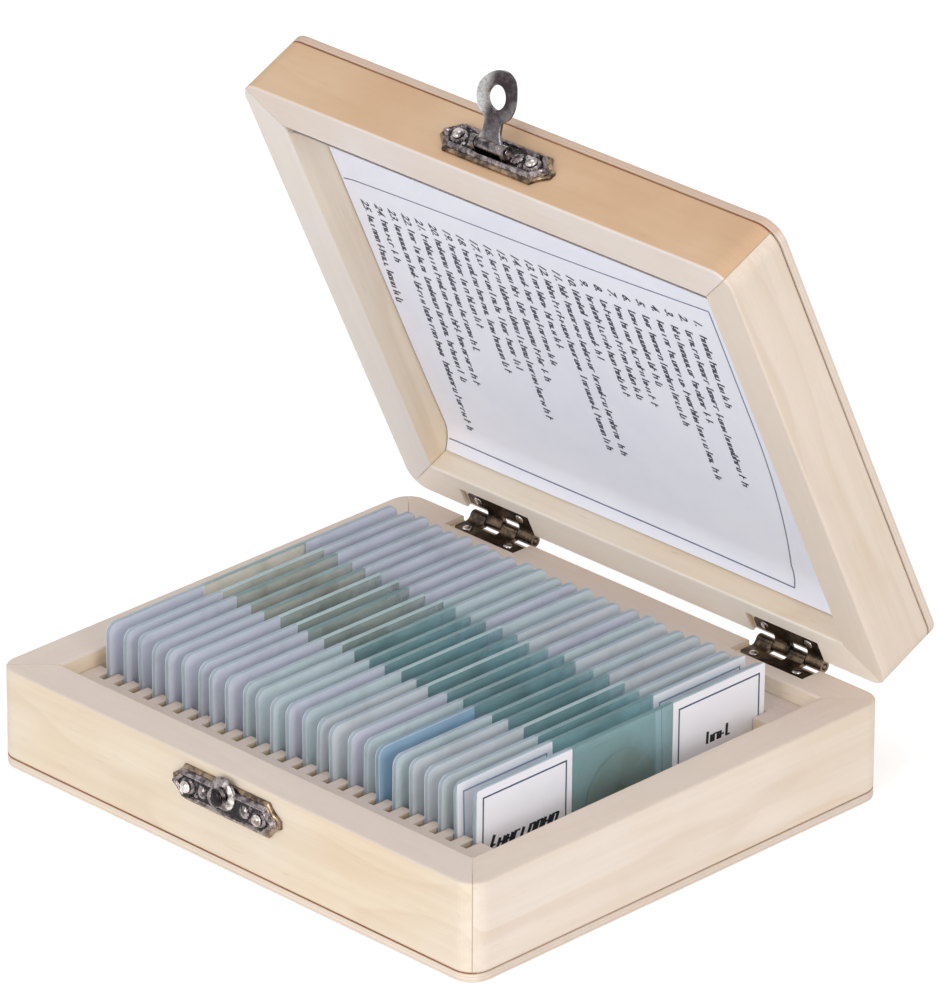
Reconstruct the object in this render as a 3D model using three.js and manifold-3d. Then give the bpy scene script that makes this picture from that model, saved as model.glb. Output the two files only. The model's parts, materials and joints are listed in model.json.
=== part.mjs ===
// Wooden slide box: a shallow pine tray and a hinged lid that hold twenty-five
// prepared microscope slides on edge in two saw-toothed rails.
// Millimetres, +Z up. X runs along the clasp side, -Y is the clasp side.
// The origin is the middle of the tray's underside.
import * as THREE from 'three'
import { mergeVertices } from 'three/addons/utils/BufferGeometryUtils.js'
import Module from 'manifold-3d'

const wasm = await Module()
wasm.setup()

// ---- driving dimensions ----------------------------------------------------
// box
const boxLength = 127
const boxDepth = 109
const cornerRadius = 4.5
const wallThickness = 8.6
const boardThickness = 1.8
const trayRimHeight = 20.3
const lidDepth = 15.4
const edgeRounding = 0.4
const rimGap = 0.3
const glueGap = 0.15
const lidOpenAngle = 65

// slides and the rails that hold them
const slideCount = 25
const slidesFacingRight = 2
const slideLength = 76.2
const slideHeight = 25.4
const slideThickness = 1
const slideCornerRadius = 2.2
const slideFloorClearance = 0.2
const firstSlotMargin = 8.75
const lastSlotMargin = 4.35
const slideEndPlay = 1.5
const slideRestShift = 0.8
const slideShiftSpread = 0.45
const slideLean = 1.1
const labelSize = 24
const labelThickness = 0.12
const labelMargin = 0.7
const coverSlipRadius = 9
const coverSlipThickness = 0.17
const slotWidth = 1.7
const railThickness = 9.7
const railTopBelowRim = 3.5

// index sheet in the lid
const sheetThickness = 0.25
const sheetDepth = 7.3
const sheetEdgeLift = 2.7
const sheetCurlLength = 6
const sheetSideGap = 0.25

// hinges
const hingeInset = 25.2
const hingeLength = 17
const hingeKnuckles = 4
const knuckleGap = 0.2
const barrelRadius = 1.2
const barrelClearance = 0.1
const hingePinRadius = 0.55
const pinRunningGap = 0.15
const leafThickness = 0.6
const leafReach = 6.3
const leafSetBack = 0.35
const leafCornerCut = 1.1
const notchDepth = 2.9
const curlReach = 2.4
const mortiseClearance = 0.3
const mortiseRunOut = 1.1

// pins that nail the metal to the wood
const hingeNailHeadRadius = 1
const hingeNailHeadHeight = 0.4
const hingeNailFromEnd = 2.9
const hingeNailFromEdge = 1.7
const claspNailHeadRadius = 1.25
const claspNailHeadHeight = 0.9
const claspNailFromEnd = 4.8
const nailShankRadius = 0.45
const nailShankLength = 5
const nailHoleClearance = 0.15
const seatGap = 0.1

// clasp
const plateLength = 28.6
const plateHeight = 7.2
const plateEndCut = 3
const plateTipHeight = 1.6
const plateFlange = 0.7
const plateBody = 1.8
const plateStepInset = 0.9
const plateEdgeRounding = 0.25
const catchHeight = 14.9
const haspPlateAboveRim = 6.1
const haspPivotDrop = 0.8
const haspPivotStandoff = 3.2
const haspAngle = 128
const haspEyeDistance = 9.3
const haspThickness = 0.8
const haspHeadRadius = 5
const haspNeckWidth = 4.4
const haspBaseWidth = 6.4
const haspEyeRadius = 2.35
const haspBarrelRadius = 1.15
const haspPinRadius = 0.5
const earThickness = 1.1
const catchKnobRadius = 1.9
const catchDomeRadius = 3.4
const catchDomeHeight = 0.5
const catchKnobHeight = 2.4

// ---- sizes that follow from them ---------------------------------------------
const halfLength = boxLength / 2
const halfDepth = boxDepth / 2
const innerHalfLength = halfLength - wallThickness
const innerHalfDepth = halfDepth - wallThickness
const floorHeight = boardThickness
const lidRimHeight = trayRimHeight + rimGap
const lidTopHeight = lidRimHeight + lidDepth
const hingeY = halfDepth + barrelRadius + barrelClearance
const hingeZ = trayRimHeight + rimGap / 2
const railBottom = floorHeight + glueGap
const railTop = trayRimHeight - railTopBelowRim
const railOuter = innerHalfDepth - glueGap
const railInner = railOuter - railThickness
const slotRoot = slideLength / 2 + slideEndPlay
const slidePitch = (2 * innerHalfLength - firstSlotMargin - lastSlotMargin) / (slideCount - 1)
const slideBottom = floorHeight + slideFloorClearance
const haspPivotY = -(halfDepth + haspPivotStandoff)
const haspPlateHeight = lidRimHeight + haspPlateAboveRim
const haspPivotZ = haspPlateHeight - haspPivotDrop
const knobHeight = haspPivotZ - haspEyeDistance
const knuckleLength = hingeLength / hingeKnuckles
const claspNailX = plateLength / 2 - claspNailFromEnd

// ---- materials ---------------------------------------------------------------
function finish(color, roughness, metalness) {
  return new THREE.MeshStandardMaterial({ color, roughness, metalness })
}
const pine = finish('#e6d3b6', 0.62, 0)
const plywood = finish('#dfc7a8', 0.66, 0)
const antiqueMetal = finish('#4a3f38', 0.3, 0.9)
const paleMetal = finish('#5c5049', 0.25, 0.9)
const paper = finish('#d9d9e8', 0.8, 0)
const slideGlass = finish('#b9cfd0', 0.08, 0)

// ---- solids ------------------------------------------------------------------
const radians = THREE.MathUtils.degToRad

function solid(geometry) {
  const bare = geometry.clone()
  bare.deleteAttribute('normal')
  bare.deleteAttribute('uv')
  const merged = mergeVertices(bare, 1e-4)
  return new wasm.Manifold(new wasm.Mesh({
    numProp: 3,
    vertProperties: new Float32Array(merged.attributes.position.array),
    triVerts: new Uint32Array(merged.index.array)
  }))
}

function geometryOf(body) {
  const mesh = body.getMesh()
  const geometry = new THREE.BufferGeometry()
  const points = new Float32Array(mesh.vertProperties)
  geometry.setAttribute('position', new THREE.BufferAttribute(points, 3))
  geometry.setIndex(new THREE.BufferAttribute(new Uint32Array(mesh.triVerts), 1))
  geometry.computeVertexNormals()
  return geometry
}

function piece(name, shape, material) {
  const geometry = shape.isBufferGeometry ? shape : geometryOf(shape)
  const mesh = new THREE.Mesh(geometry, material)
  mesh.name = name
  return mesh
}

function block(low, high) {
  const size = high.map((value, axis) => value - low[axis])
  const middle = high.map((value, axis) => (value + low[axis]) / 2)
  return solid(new THREE.BoxGeometry(...size).translate(...middle))
}

function prism(shape, depth, curveSegments = 6) {
  return new THREE.ExtrudeGeometry(shape, { depth, bevelEnabled: false, curveSegments })
}

// a prism whose two flat faces have their edges rounded off inside the outline
function softPrism(shape, depth, rounding, curveSegments = 6, bevelSegments = 1) {
  const geometry = new THREE.ExtrudeGeometry(shape, {
    depth: depth - 2 * rounding,
    bevelThickness: rounding,
    bevelSize: rounding,
    bevelOffset: -rounding,
    bevelSegments,
    curveSegments
  })
  return geometry.translate(0, 0, rounding)
}

// a prism drawn in the Y-Z plane and extruded along X
function prismAlongX(shape, lowX, highX, curveSegments = 6) {
  const geometry = prism(shape, highX - lowX, curveSegments)
  return geometry.rotateX(Math.PI / 2).rotateZ(Math.PI / 2).translate(lowX, 0, 0)
}

// a round rod along X
function rodAlongX(radius, lowX, highX, y, z, sides = 16) {
  const rod = new THREE.CylinderGeometry(radius, radius, highX - lowX, sides)
  return rod.rotateZ(Math.PI / 2).translate((lowX + highX) / 2, y, z)
}

function roundedRectangle(path, halfX, halfY, radius) {
  path.moveTo(-halfX + radius, -halfY)
  path.lineTo(halfX - radius, -halfY)
  path.absarc(halfX - radius, -halfY + radius, radius, -Math.PI / 2, 0)
  path.lineTo(halfX, halfY - radius)
  path.absarc(halfX - radius, halfY - radius, radius, 0, Math.PI / 2)
  path.lineTo(-halfX + radius, halfY)
  path.absarc(-halfX + radius, halfY - radius, radius, Math.PI / 2, Math.PI)
  path.lineTo(-halfX, -halfY + radius)
  path.absarc(-halfX + radius, -halfY + radius, radius, Math.PI, 1.5 * Math.PI)
  return path
}

function polygon(points) {
  return new THREE.Shape(points.map(([x, y]) => new THREE.Vector2(x, y)))
}

// ---- wooden box --------------------------------------------------------------
// The four walls of a frame, cut apart along mitres with a glue line between them.
function mitredWalls(lowZ, highZ) {
  const outline = roundedRectangle(new THREE.Shape(), halfLength, halfDepth, cornerRadius)
  outline.holes.push(polygon([
    [-innerHalfLength, -innerHalfDepth], [innerHalfLength, -innerHalfDepth],
    [innerHalfLength, innerHalfDepth], [-innerHalfLength, innerHalfDepth]
  ]))
  const height = highZ - lowZ
  const frame = solid(softPrism(outline, height, edgeRounding, 5, 2).translate(0, 0, lowZ))
  const cut = glueGap / Math.SQRT2
  const walls = {}
  for (const [side, turn, half, other] of [
    ['back', 0, halfDepth, halfLength], ['left', Math.PI / 2, halfLength, halfDepth],
    ['front', Math.PI, halfDepth, halfLength], ['right', -Math.PI / 2, halfLength, halfDepth]
  ]) {
    const inner = half - wallThickness - 1
    const reach = half + 1
    const wedge = prism(polygon([
      [-(other - half + inner - cut), inner], [other - half + inner - cut, inner],
      [other - half + reach - cut, reach], [-(other - half + reach - cut), reach]
    ]), height)
    walls[side] = frame.intersect(solid(wedge.translate(0, 0, lowZ).rotateZ(turn)))
  }
  return walls
}

function board(lowZ) {
  const outline = roundedRectangle(new THREE.Shape(), halfLength, halfDepth, cornerRadius)
  return softPrism(outline, boardThickness, edgeRounding, 5, 2).translate(0, 0, lowZ)
}

// ---- nails -------------------------------------------------------------------
// A domed nail pointing along -Z, its head seated at the origin.
function nail(headRadius, headHeight) {
  const profile = [new THREE.Vector2(0, -nailShankLength)]
  profile.push(new THREE.Vector2(nailShankRadius, -nailShankLength + 2 * nailShankRadius))
  profile.push(new THREE.Vector2(nailShankRadius, 0))
  const steps = 3
  for (let i = 0; i <= steps; i++) {
    const angle = i / steps * Math.PI / 2
    profile.push(new THREE.Vector2(headRadius * Math.cos(angle), headHeight * Math.sin(angle)))
  }
  profile[profile.length - 1].x = 0
  return new THREE.LatheGeometry(profile, 10).rotateX(Math.PI / 2)
}

// the hole that a nail shank goes through, along Z about the origin
function nailHole(depth) {
  const radius = nailShankRadius + nailHoleClearance
  return new THREE.CylinderGeometry(radius, radius, depth, 10).rotateX(Math.PI / 2)
}

// ---- hinges ------------------------------------------------------------------
// A leaf lies flat on its rim: its barrel axis is the origin, and it reaches along -Y
// below the rim-to-rim middle plane. The lid's leaf is the same one turned over.
function knuckleProfile() {
  const faceZ = -(rimGap / 2 + leafSetBack)
  const backZ = faceZ - leafThickness
  const startAngle = Math.PI + Math.asin(-backZ / barrelRadius)
  const curlAngle = radians(145)
  const profile = new THREE.Shape()
  profile.moveTo(-notchDepth - 1, backZ)
  profile.lineTo(barrelRadius * Math.cos(startAngle), backZ)
  profile.absarc(0, 0, barrelRadius, startAngle, curlAngle + 2 * Math.PI)
  profile.quadraticCurveTo(-barrelRadius * 1.15, faceZ, -curlReach, faceZ)
  profile.lineTo(-notchDepth - 1, faceZ)
  const bore = new THREE.Path()
  bore.absarc(0, 0, hingePinRadius + pinRunningGap, 0, 2 * Math.PI)
  profile.holes.push(bore)
  return profile
}

function knuckleSpan(index) {
  const low = -hingeLength / 2 + index * knuckleLength + knuckleGap / 2
  return [low, low + knuckleLength - knuckleGap]
}

function hingeLeaf() {
  const faceZ = -(rimGap / 2 + leafSetBack)
  const half = hingeLength / 2
  const cut = leafCornerCut
  const plan = polygon([
    [-half, -notchDepth], [-half, -leafReach + cut], [-half + cut, -leafReach],
    [half - cut, -leafReach], [half, -leafReach + cut], [half, -notchDepth]
  ])
  let leaf = solid(prism(plan, leafThickness).translate(0, 0, faceZ - leafThickness))
  for (let i = 0; i < hingeKnuckles; i += 2) {
    leaf = leaf.add(solid(prismAlongX(knuckleProfile(), ...knuckleSpan(i), 7)))
  }
  for (const [x, y] of hingeNailPlaces()) {
    const hole = nailHole(4 * leafThickness).translate(x, y, faceZ)
    leaf = leaf.subtract(solid(hole))
  }
  return leaf
}

function hingeNailPlaces() {
  const y = -leafReach + hingeNailFromEdge
  const x = hingeLength / 2 - hingeNailFromEnd
  return [[-x, y], [x, y]]
}

// The shallow recess that one leaf lies in, as a block to cut from a rim:
// side is -1 for the tray's rim and +1 for the lid's.
function mortise(x, side) {
  const half = hingeLength / 2 + mortiseClearance
  const depth = side * (rimGap / 2 + leafSetBack + leafThickness + seatGap)
  return block(
    [x - half - mortiseRunOut, hingeY - leafReach - mortiseClearance, hingeZ + Math.min(depth, 0)],
    [x + half, hingeY + barrelRadius, hingeZ + Math.max(depth, 0)]
  )
}

function hingePin() {
  const profile = [
    new THREE.Vector2(0, -hingeLength / 2),
    new THREE.Vector2(hingePinRadius * 0.7, -hingeLength / 2),
    new THREE.Vector2(hingePinRadius, -hingeLength / 2 + 0.25),
    new THREE.Vector2(hingePinRadius, hingeLength / 2 - 0.25),
    new THREE.Vector2(hingePinRadius * 0.7, hingeLength / 2),
    new THREE.Vector2(0, hingeLength / 2)
  ]
  return new THREE.LatheGeometry(profile, 12).rotateZ(Math.PI / 2)
}

// ---- clasp -------------------------------------------------------------------
// Outline of the two clasp plates: a long eight-sided lozenge with scalloped shoulders.
function plateOutline(inset) {
  const half = plateLength / 2 - inset
  const rise = plateHeight / 2 - inset
  const tip = plateTipHeight / 2
  const shoulder = half - plateEndCut
  const shape = new THREE.Shape()
  shape.moveTo(-half, -tip)
  shape.quadraticCurveTo(-shoulder - 0.6, -rise * 0.62, -shoulder, -rise)
  shape.quadraticCurveTo(0, -rise - inset * 0.2, shoulder, -rise)
  shape.quadraticCurveTo(shoulder + 0.6, -rise * 0.62, half, -tip)
  shape.lineTo(half, tip)
  shape.quadraticCurveTo(shoulder + 0.6, rise * 0.62, shoulder, rise)
  shape.quadraticCurveTo(0, rise + inset * 0.2, -shoulder, rise)
  shape.quadraticCurveTo(-shoulder - 0.6, rise * 0.62, -half, tip)
  return shape
}

// a clasp plate standing up in X-Z, its back at Y = 0 and its front towards -Y
function claspPlate() {
  const flange = solid(softPrism(plateOutline(0), plateFlange, plateEdgeRounding, 3))
  const body = solid(softPrism(plateOutline(plateStepInset), plateBody, 2 * plateEdgeRounding, 3))
  let plate = flange.add(body)
  for (const side of [-1, 1]) {
    const hole = nailHole(4 * plateBody).translate(side * claspNailX, 0, 0)
    plate = plate.subtract(solid(hole))
  }
  return plate
}

function uprightFromFlat(geometry) {
  return geometry.rotateX(Math.PI / 2)
}

function revolvedKnob() {
  const profile = [
    [0, plateBody - 0.6], [catchDomeRadius, plateBody - 0.6],
    [catchDomeRadius, plateBody], [catchDomeRadius * 0.8, plateBody + catchDomeHeight],
    [catchKnobRadius * 0.82, plateBody + catchDomeHeight],
    [catchKnobRadius * 0.82, plateBody + catchKnobHeight * 0.55],
    [catchKnobRadius, plateBody + catchKnobHeight * 0.75],
    [catchKnobRadius * 0.7, plateBody + catchKnobHeight], [0, plateBody + catchKnobHeight]
  ].map(([radius, height]) => new THREE.Vector2(radius, height))
  return new THREE.LatheGeometry(profile, 16).rotateX(Math.PI / 2)
}

function catchPlate() {
  const knobLift = knobHeight - catchHeight
  return claspPlate().add(solid(revolvedKnob().translate(0, knobLift, 0)))
}

function haspPlate() {
  let plate = claspPlate()
  const inner = haspBaseWidth / 2 + knuckleGap
  const pivotV = -haspPivotDrop
  const earRadius = haspBarrelRadius
  for (const side of [-1, 1]) {
    const ear = new THREE.Shape()
    ear.moveTo(pivotV - earRadius, plateBody - 0.6)
    ear.lineTo(pivotV - earRadius, haspPivotStandoff - seatGap)
    ear.absarc(pivotV, haspPivotStandoff - seatGap, earRadius, Math.PI, 0, true)
    ear.lineTo(pivotV + earRadius, plateBody - 0.6)
    const lowX = side > 0 ? inner : -inner - earThickness
    plate = plate.add(solid(prismAlongX(ear, lowX, lowX + earThickness)))
  }
  const reach = inner + earThickness + 1
  const bore = haspPinRadius + pinRunningGap
  const pinHeight = haspPivotStandoff - seatGap
  return plate.subtract(solid(rodAlongX(bore, -reach, reach, pivotV, pinHeight, 12)))
}

// The hasp hangs along -Z from its barrel, which lies along X at the origin.
function haspOutline() {
  const base = haspBaseWidth / 2
  const neck = haspNeckWidth / 2
  const headTop = -(haspEyeDistance - haspHeadRadius)
  const join = radians(52)
  const joinX = haspHeadRadius * Math.sin(join)
  const joinY = -haspEyeDistance + haspHeadRadius * Math.cos(join)
  const shape = new THREE.Shape()
  shape.moveTo(-base, 0)
  shape.quadraticCurveTo(-neck, headTop * 0.35, -neck, headTop * 0.75)
  shape.quadraticCurveTo(-neck, headTop, -joinX, joinY)
  shape.absarc(0, -haspEyeDistance, haspHeadRadius, Math.PI / 2 + join, Math.PI / 2 - join + 2 * Math.PI)
  shape.quadraticCurveTo(neck, headTop, neck, headTop * 0.75)
  shape.quadraticCurveTo(neck, headTop * 0.35, base, 0)
  const eye = new THREE.Path()
  eye.absarc(0, -haspEyeDistance, haspEyeRadius, 0, 2 * Math.PI)
  shape.holes.push(eye)
  return shape
}

function haspBlade() {
  const flat = softPrism(haspOutline(), haspThickness, plateEdgeRounding, 6)
  const blade = uprightFromFlat(flat.translate(0, 0, -haspThickness / 2))
  const half = haspBaseWidth / 2
  const barrel = solid(rodAlongX(haspBarrelRadius, -half, half, 0, 0))
  const bore = rodAlongX(haspPinRadius + pinRunningGap, -half - 1, half + 1, 0, 0, 12)
  return solid(blade).add(barrel).subtract(solid(bore))
}

function haspPin() {
  const half = haspBaseWidth / 2 + knuckleGap + earThickness
  return rodAlongX(haspPinRadius, -half, half, 0, 0, 12)
}

// ---- rails, slides and index sheet ---------------------------------------------
function slotX(number) {
  return innerHalfLength - firstSlotMargin - (number - 1) * slidePitch
}

// A rail seen from above: a comb whose saw cuts open towards the middle of the tray.
// side is +1 for the rail at the hinges and -1 for the one at the clasp.
function slotRail(side) {
  const half = innerHalfLength - glueGap
  const plan = new THREE.Shape()
  plan.moveTo(-half, side * railOuter)
  plan.lineTo(-half, side * railInner)
  for (let number = slideCount; number >= 1; number--) {
    const low = slotX(number) - slotWidth / 2
    plan.lineTo(low, side * railInner)
    plan.lineTo(low, side * slotRoot)
    plan.lineTo(low + slotWidth, side * slotRoot)
    plan.lineTo(low + slotWidth, side * railInner)
  }
  plan.lineTo(half, side * railInner)
  plan.lineTo(half, side * railOuter)
  return prism(plan, railTop - railBottom).translate(0, 0, railBottom)
}

// One slide on edge: its long edge along Y, its labelled face towards +X.
function slide() {
  const outline = roundedRectangle(
    new THREE.Shape(), slideLength / 2, slideHeight / 2, slideCornerRadius)
  let body = solid(prism(outline, slideThickness, 2))
  const bite = slideThickness / 4
  for (const side of [-1, 1]) {
    const middle = side * (slideLength / 2 - labelMargin - labelSize / 2)
    body = body.add(block(
      [middle - labelSize / 2, -labelSize / 2, slideThickness - bite],
      [middle + labelSize / 2, labelSize / 2, slideThickness + labelThickness]
    ))
  }
  const slip = new THREE.CylinderGeometry(
    coverSlipRadius, coverSlipRadius, coverSlipThickness + bite, 18)
  const slipMiddle = slideThickness + (coverSlipThickness - bite) / 2
  body = body.add(solid(slip.rotateX(Math.PI / 2).translate(0, 0, slipMiddle)))
  return geometryOf(body).translate(0, 0, -slideThickness / 2)
    .rotateX(Math.PI / 2).rotateZ(Math.PI / 2)
}

// Slides stand loosely: each leans and sits a little off the middle of its slots.
function placeSlide(mesh, number) {
  const railMiddle = (railTop - railBottom) / 2
  const lean = radians(slideLean) * Math.sin(number * 2.4)
  const shift = slideRestShift + slideShiftSpread * Math.sin(number * 1.7)
  const aboveMiddle = slideHeight / 2 - railMiddle
  const turn = number <= slidesFacingRight ? 0 : Math.PI
  mesh.rotation.set(0, lean, turn)
  mesh.position.set(
    slotX(number) + aboveMiddle * Math.sin(lean),
    shift,
    slideBottom + slideHeight / 2
  )
  return mesh
}

// The sheet lies across the lid, and its hinge-side edge curls towards the opening.
function indexSheet() {
  const front = -innerHalfDepth + sheetSideGap
  const back = innerHalfDepth - sheetSideGap
  const curlStart = back - sheetCurlLength
  const face = lidRimHeight + sheetDepth
  const profile = new THREE.Shape()
  profile.moveTo(front, face)
  profile.lineTo(curlStart, face)
  profile.quadraticCurveTo(curlStart + sheetCurlLength / 2, face, back, face - sheetEdgeLift)
  profile.lineTo(back, face - sheetEdgeLift + sheetThickness)
  profile.quadraticCurveTo(
    curlStart + sheetCurlLength / 2, face + sheetThickness, curlStart, face + sheetThickness)
  profile.lineTo(front, face + sheetThickness)
  const half = innerHalfLength - sheetSideGap
  return prismAlongX(profile, -half, half, 5)
}

// ---- assembly ----------------------------------------------------------------
const slideBox = new THREE.Group()
slideBox.name = 'slide_box'
const tray = new THREE.Group()
slideBox.add(tray)

// Everything in the lid is placed as it lies when shut, and the lid turns on its hinges.
const lid = new THREE.Group()
lid.position.set(0, hingeY, hingeZ)
lid.rotation.x = -radians(lidOpenAngle)
const shutLid = new THREE.Group()
shutLid.position.set(0, -hingeY, -hingeZ)
lid.add(shutLid)
slideBox.add(lid)

const hingeSides = [['left', hingeInset - halfLength], ['right', halfLength - hingeInset]]

// wood, with the recesses for the leaves and the holes for the nails
const trayWalls = mitredWalls(floorHeight + glueGap, trayRimHeight)
const lidWalls = mitredWalls(lidRimHeight, lidTopHeight - boardThickness - glueGap)
const holeDepth = 2 * (nailShankLength + 2)
for (const [, x] of hingeSides) {
  trayWalls.back = trayWalls.back.subtract(mortise(x, -1))
  lidWalls.back = lidWalls.back.subtract(mortise(x, 1))
  for (const [nailX, nailY] of hingeNailPlaces()) {
    const hole = nailHole(holeDepth).translate(x + nailX, hingeY + nailY, hingeZ)
    trayWalls.back = trayWalls.back.subtract(solid(hole))
    lidWalls.back = lidWalls.back.subtract(solid(hole))
  }
}
for (const side of [-1, 1]) {
  const hole = uprightFromFlat(nailHole(holeDepth)).translate(
    side * claspNailX, -halfDepth, 0)
  const lower = hole.clone().translate(0, 0, catchHeight)
  trayWalls.front = trayWalls.front.subtract(solid(lower))
  lidWalls.front = lidWalls.front.subtract(solid(hole.translate(0, 0, haspPlateHeight)))
}
for (const side of ['front', 'back', 'left', 'right']) {
  tray.add(piece(`tray_${side}_wall`, trayWalls[side], pine))
  shutLid.add(piece(`lid_${side}_wall`, lidWalls[side], pine))
}
tray.add(piece('tray_bottom_board', board(0), plywood))
shutLid.add(piece('lid_top_board', board(lidTopHeight - boardThickness), plywood))

// rails, slides and index sheet
tray.add(piece('back_slot_rail', slotRail(1), pine))
tray.add(piece('front_slot_rail', slotRail(-1), pine))
for (let number = 1; number <= slideCount; number++) {
  const name = `slide_${String(number).padStart(2, '0')}`
  slideBox.add(placeSlide(piece(name, slide(), slideGlass), number))
}
shutLid.add(piece('index_sheet', indexSheet(), paper))

// hinges
for (const [side, x] of hingeSides) {
  const trayLeaf = piece(`${side}_hinge_tray_leaf`, hingeLeaf(), antiqueMetal)
  trayLeaf.position.set(x, hingeY, hingeZ)
  tray.add(trayLeaf)
  const pin = piece(`${side}_hinge_pin`, hingePin(), antiqueMetal)
  pin.position.set(x, hingeY, hingeZ)
  tray.add(pin)
  const turned = geometryOf(hingeLeaf()).rotateY(Math.PI)
  const lidLeaf = piece(`${side}_hinge_lid_leaf`, turned, antiqueMetal)
  lidLeaf.position.set(x, 0, 0)
  lid.add(lidLeaf)
  const seat = rimGap / 2 + leafSetBack - seatGap
  hingeNailPlaces().forEach(([nailX, nailY], index) => {
    const end = ['outer', 'inner'][side === 'left' ? index : 1 - index]
    const trayNail = piece(`${side}_hinge_tray_nail_${end}`,
      nail(hingeNailHeadRadius, hingeNailHeadHeight), paleMetal)
    trayNail.position.set(x + nailX, hingeY + nailY, hingeZ - seat)
    tray.add(trayNail)
    const lidNail = piece(`${side}_hinge_lid_nail_${end}`,
      nail(hingeNailHeadRadius, hingeNailHeadHeight).rotateX(Math.PI), paleMetal)
    lidNail.position.set(x + nailX, nailY, seat)
    lid.add(lidNail)
  })
}

// clasp: the catch on the tray, the plate and its swinging hasp on the lid
const frontSeat = -(halfDepth + seatGap)
const catchPiece = piece('catch_plate', uprightFromFlat(geometryOf(catchPlate())), antiqueMetal)
catchPiece.position.set(0, frontSeat, catchHeight)
tray.add(catchPiece)
const haspPlatePiece = piece('hasp_plate', uprightFromFlat(geometryOf(haspPlate())), antiqueMetal)
haspPlatePiece.position.set(0, frontSeat, haspPlateHeight)
shutLid.add(haspPlatePiece)
for (const [side, sign] of [['left', -1], ['right', 1]]) {
  const x = sign * claspNailX
  const nailY = frontSeat - plateBody - seatGap
  const catchNail = piece(`catch_nail_${side}`,
    uprightFromFlat(nail(claspNailHeadRadius, claspNailHeadHeight)), paleMetal)
  catchNail.position.set(x, nailY, catchHeight)
  tray.add(catchNail)
  const haspNail = piece(`hasp_plate_nail_${side}`,
    uprightFromFlat(nail(claspNailHeadRadius, claspNailHeadHeight)), paleMetal)
  haspNail.position.set(x, nailY, haspPlateHeight)
  shutLid.add(haspNail)
}
const haspPivot = new THREE.Group()
haspPivot.position.set(0, haspPivotY, haspPivotZ)
const pinPiece = piece('hasp_pin', haspPin(), antiqueMetal)
pinPiece.position.copy(haspPivot.position)
shutLid.add(pinPiece)
haspPivot.rotation.x = -radians(haspAngle)
haspPivot.add(piece('hasp', haspBlade(), antiqueMetal))
shutLid.add(haspPivot)

export default slideBox
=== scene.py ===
import json
import math
import random

import bmesh
import bpy
import numpy
from mathutils import Matrix, Vector


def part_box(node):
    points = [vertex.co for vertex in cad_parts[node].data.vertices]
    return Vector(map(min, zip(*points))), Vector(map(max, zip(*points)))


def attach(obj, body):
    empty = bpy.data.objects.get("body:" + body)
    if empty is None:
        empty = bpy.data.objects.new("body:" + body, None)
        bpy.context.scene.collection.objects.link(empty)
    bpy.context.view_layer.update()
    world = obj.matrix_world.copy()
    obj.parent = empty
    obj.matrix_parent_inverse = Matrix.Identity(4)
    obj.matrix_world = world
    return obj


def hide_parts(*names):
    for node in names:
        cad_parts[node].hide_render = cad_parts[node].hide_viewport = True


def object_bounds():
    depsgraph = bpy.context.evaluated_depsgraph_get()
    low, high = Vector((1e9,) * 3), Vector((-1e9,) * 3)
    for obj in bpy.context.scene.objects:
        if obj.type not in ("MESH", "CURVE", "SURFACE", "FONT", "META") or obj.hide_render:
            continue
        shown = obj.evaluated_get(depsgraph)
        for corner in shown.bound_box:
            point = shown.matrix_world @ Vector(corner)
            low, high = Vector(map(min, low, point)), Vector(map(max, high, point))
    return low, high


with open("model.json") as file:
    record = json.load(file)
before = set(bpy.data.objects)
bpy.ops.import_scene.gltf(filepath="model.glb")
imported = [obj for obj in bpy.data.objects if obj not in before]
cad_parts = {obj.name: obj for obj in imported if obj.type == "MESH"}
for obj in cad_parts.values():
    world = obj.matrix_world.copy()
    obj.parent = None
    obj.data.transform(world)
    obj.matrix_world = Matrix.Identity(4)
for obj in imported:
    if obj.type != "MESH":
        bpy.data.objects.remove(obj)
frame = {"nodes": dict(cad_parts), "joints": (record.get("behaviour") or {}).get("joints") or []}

# Looks for a wooden box of microscope slides: pale sanded pine, dark antiqued
# clasp and hinges, tinted glass slides with paper labels, and a paper index sheet.
# The lid's pieces are shaped as they lie with the lid shut, then opened with it.

MM = 0.001
cad_low, cad_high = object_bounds()
JOINTS = {joint["name"]: joint for joint in frame["joints"]}
LID_PIVOT = Vector(JOINTS["lid_hinge"]["pos_m"])
LID_ANGLE = math.radians(-JOINTS["lid_hinge"]["range_deg"][0])
HASP_PIVOT = Vector(JOINTS["hasp_hinge"]["pos_m"])
HASP_ANGLE = math.radians(-JOINTS["hasp_hinge"]["range_deg"][0])
OPENED = (Matrix.Translation(LID_PIVOT) @ Matrix.Rotation(-LID_ANGLE, 4, "X")
          @ Matrix.Translation(-LID_PIVOT))
SHUT = OPENED.inverted()


def shut_box(name):
    """The corners of a lid node as it lies with the lid shut."""
    points = [SHUT @ v.co for v in frame["nodes"][name].data.vertices]
    low = Vector(min(p[i] for p in points) for i in range(3))
    high = Vector(max(p[i] for p in points) for i in range(3))
    return low, high


def configured(thing, **settings):
    for key, value in settings.items():
        setattr(thing, key, value)
    return thing


def new_object(name, data):
    made = bpy.data.objects.new(name, data)
    bpy.context.scene.collection.objects.link(made)
    return made


HALF_BOX = Vector(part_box("tray_bottom_board")[1]).xy
HALF_INSIDE = Vector((-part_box("tray_left_wall")[1].x, -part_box("tray_front_wall")[1].y))
BOX_CORNER = 4.5 * MM
END_BAND = 1.0 * MM
CORNERS = ((1, 1), (-1, 1), (-1, -1), (1, -1))


# ---- node helpers ----

def colour(code):
    """A colour written as it looks on screen, as the linear values that nodes take."""
    parts = [int(code[i : i + 2], 16) / 255 for i in (1, 3, 5)]
    return (*(p / 12.92 if p <= 0.04045 else ((p + 0.055) / 1.055) ** 2.4 for p in parts), 1.0)


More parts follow.
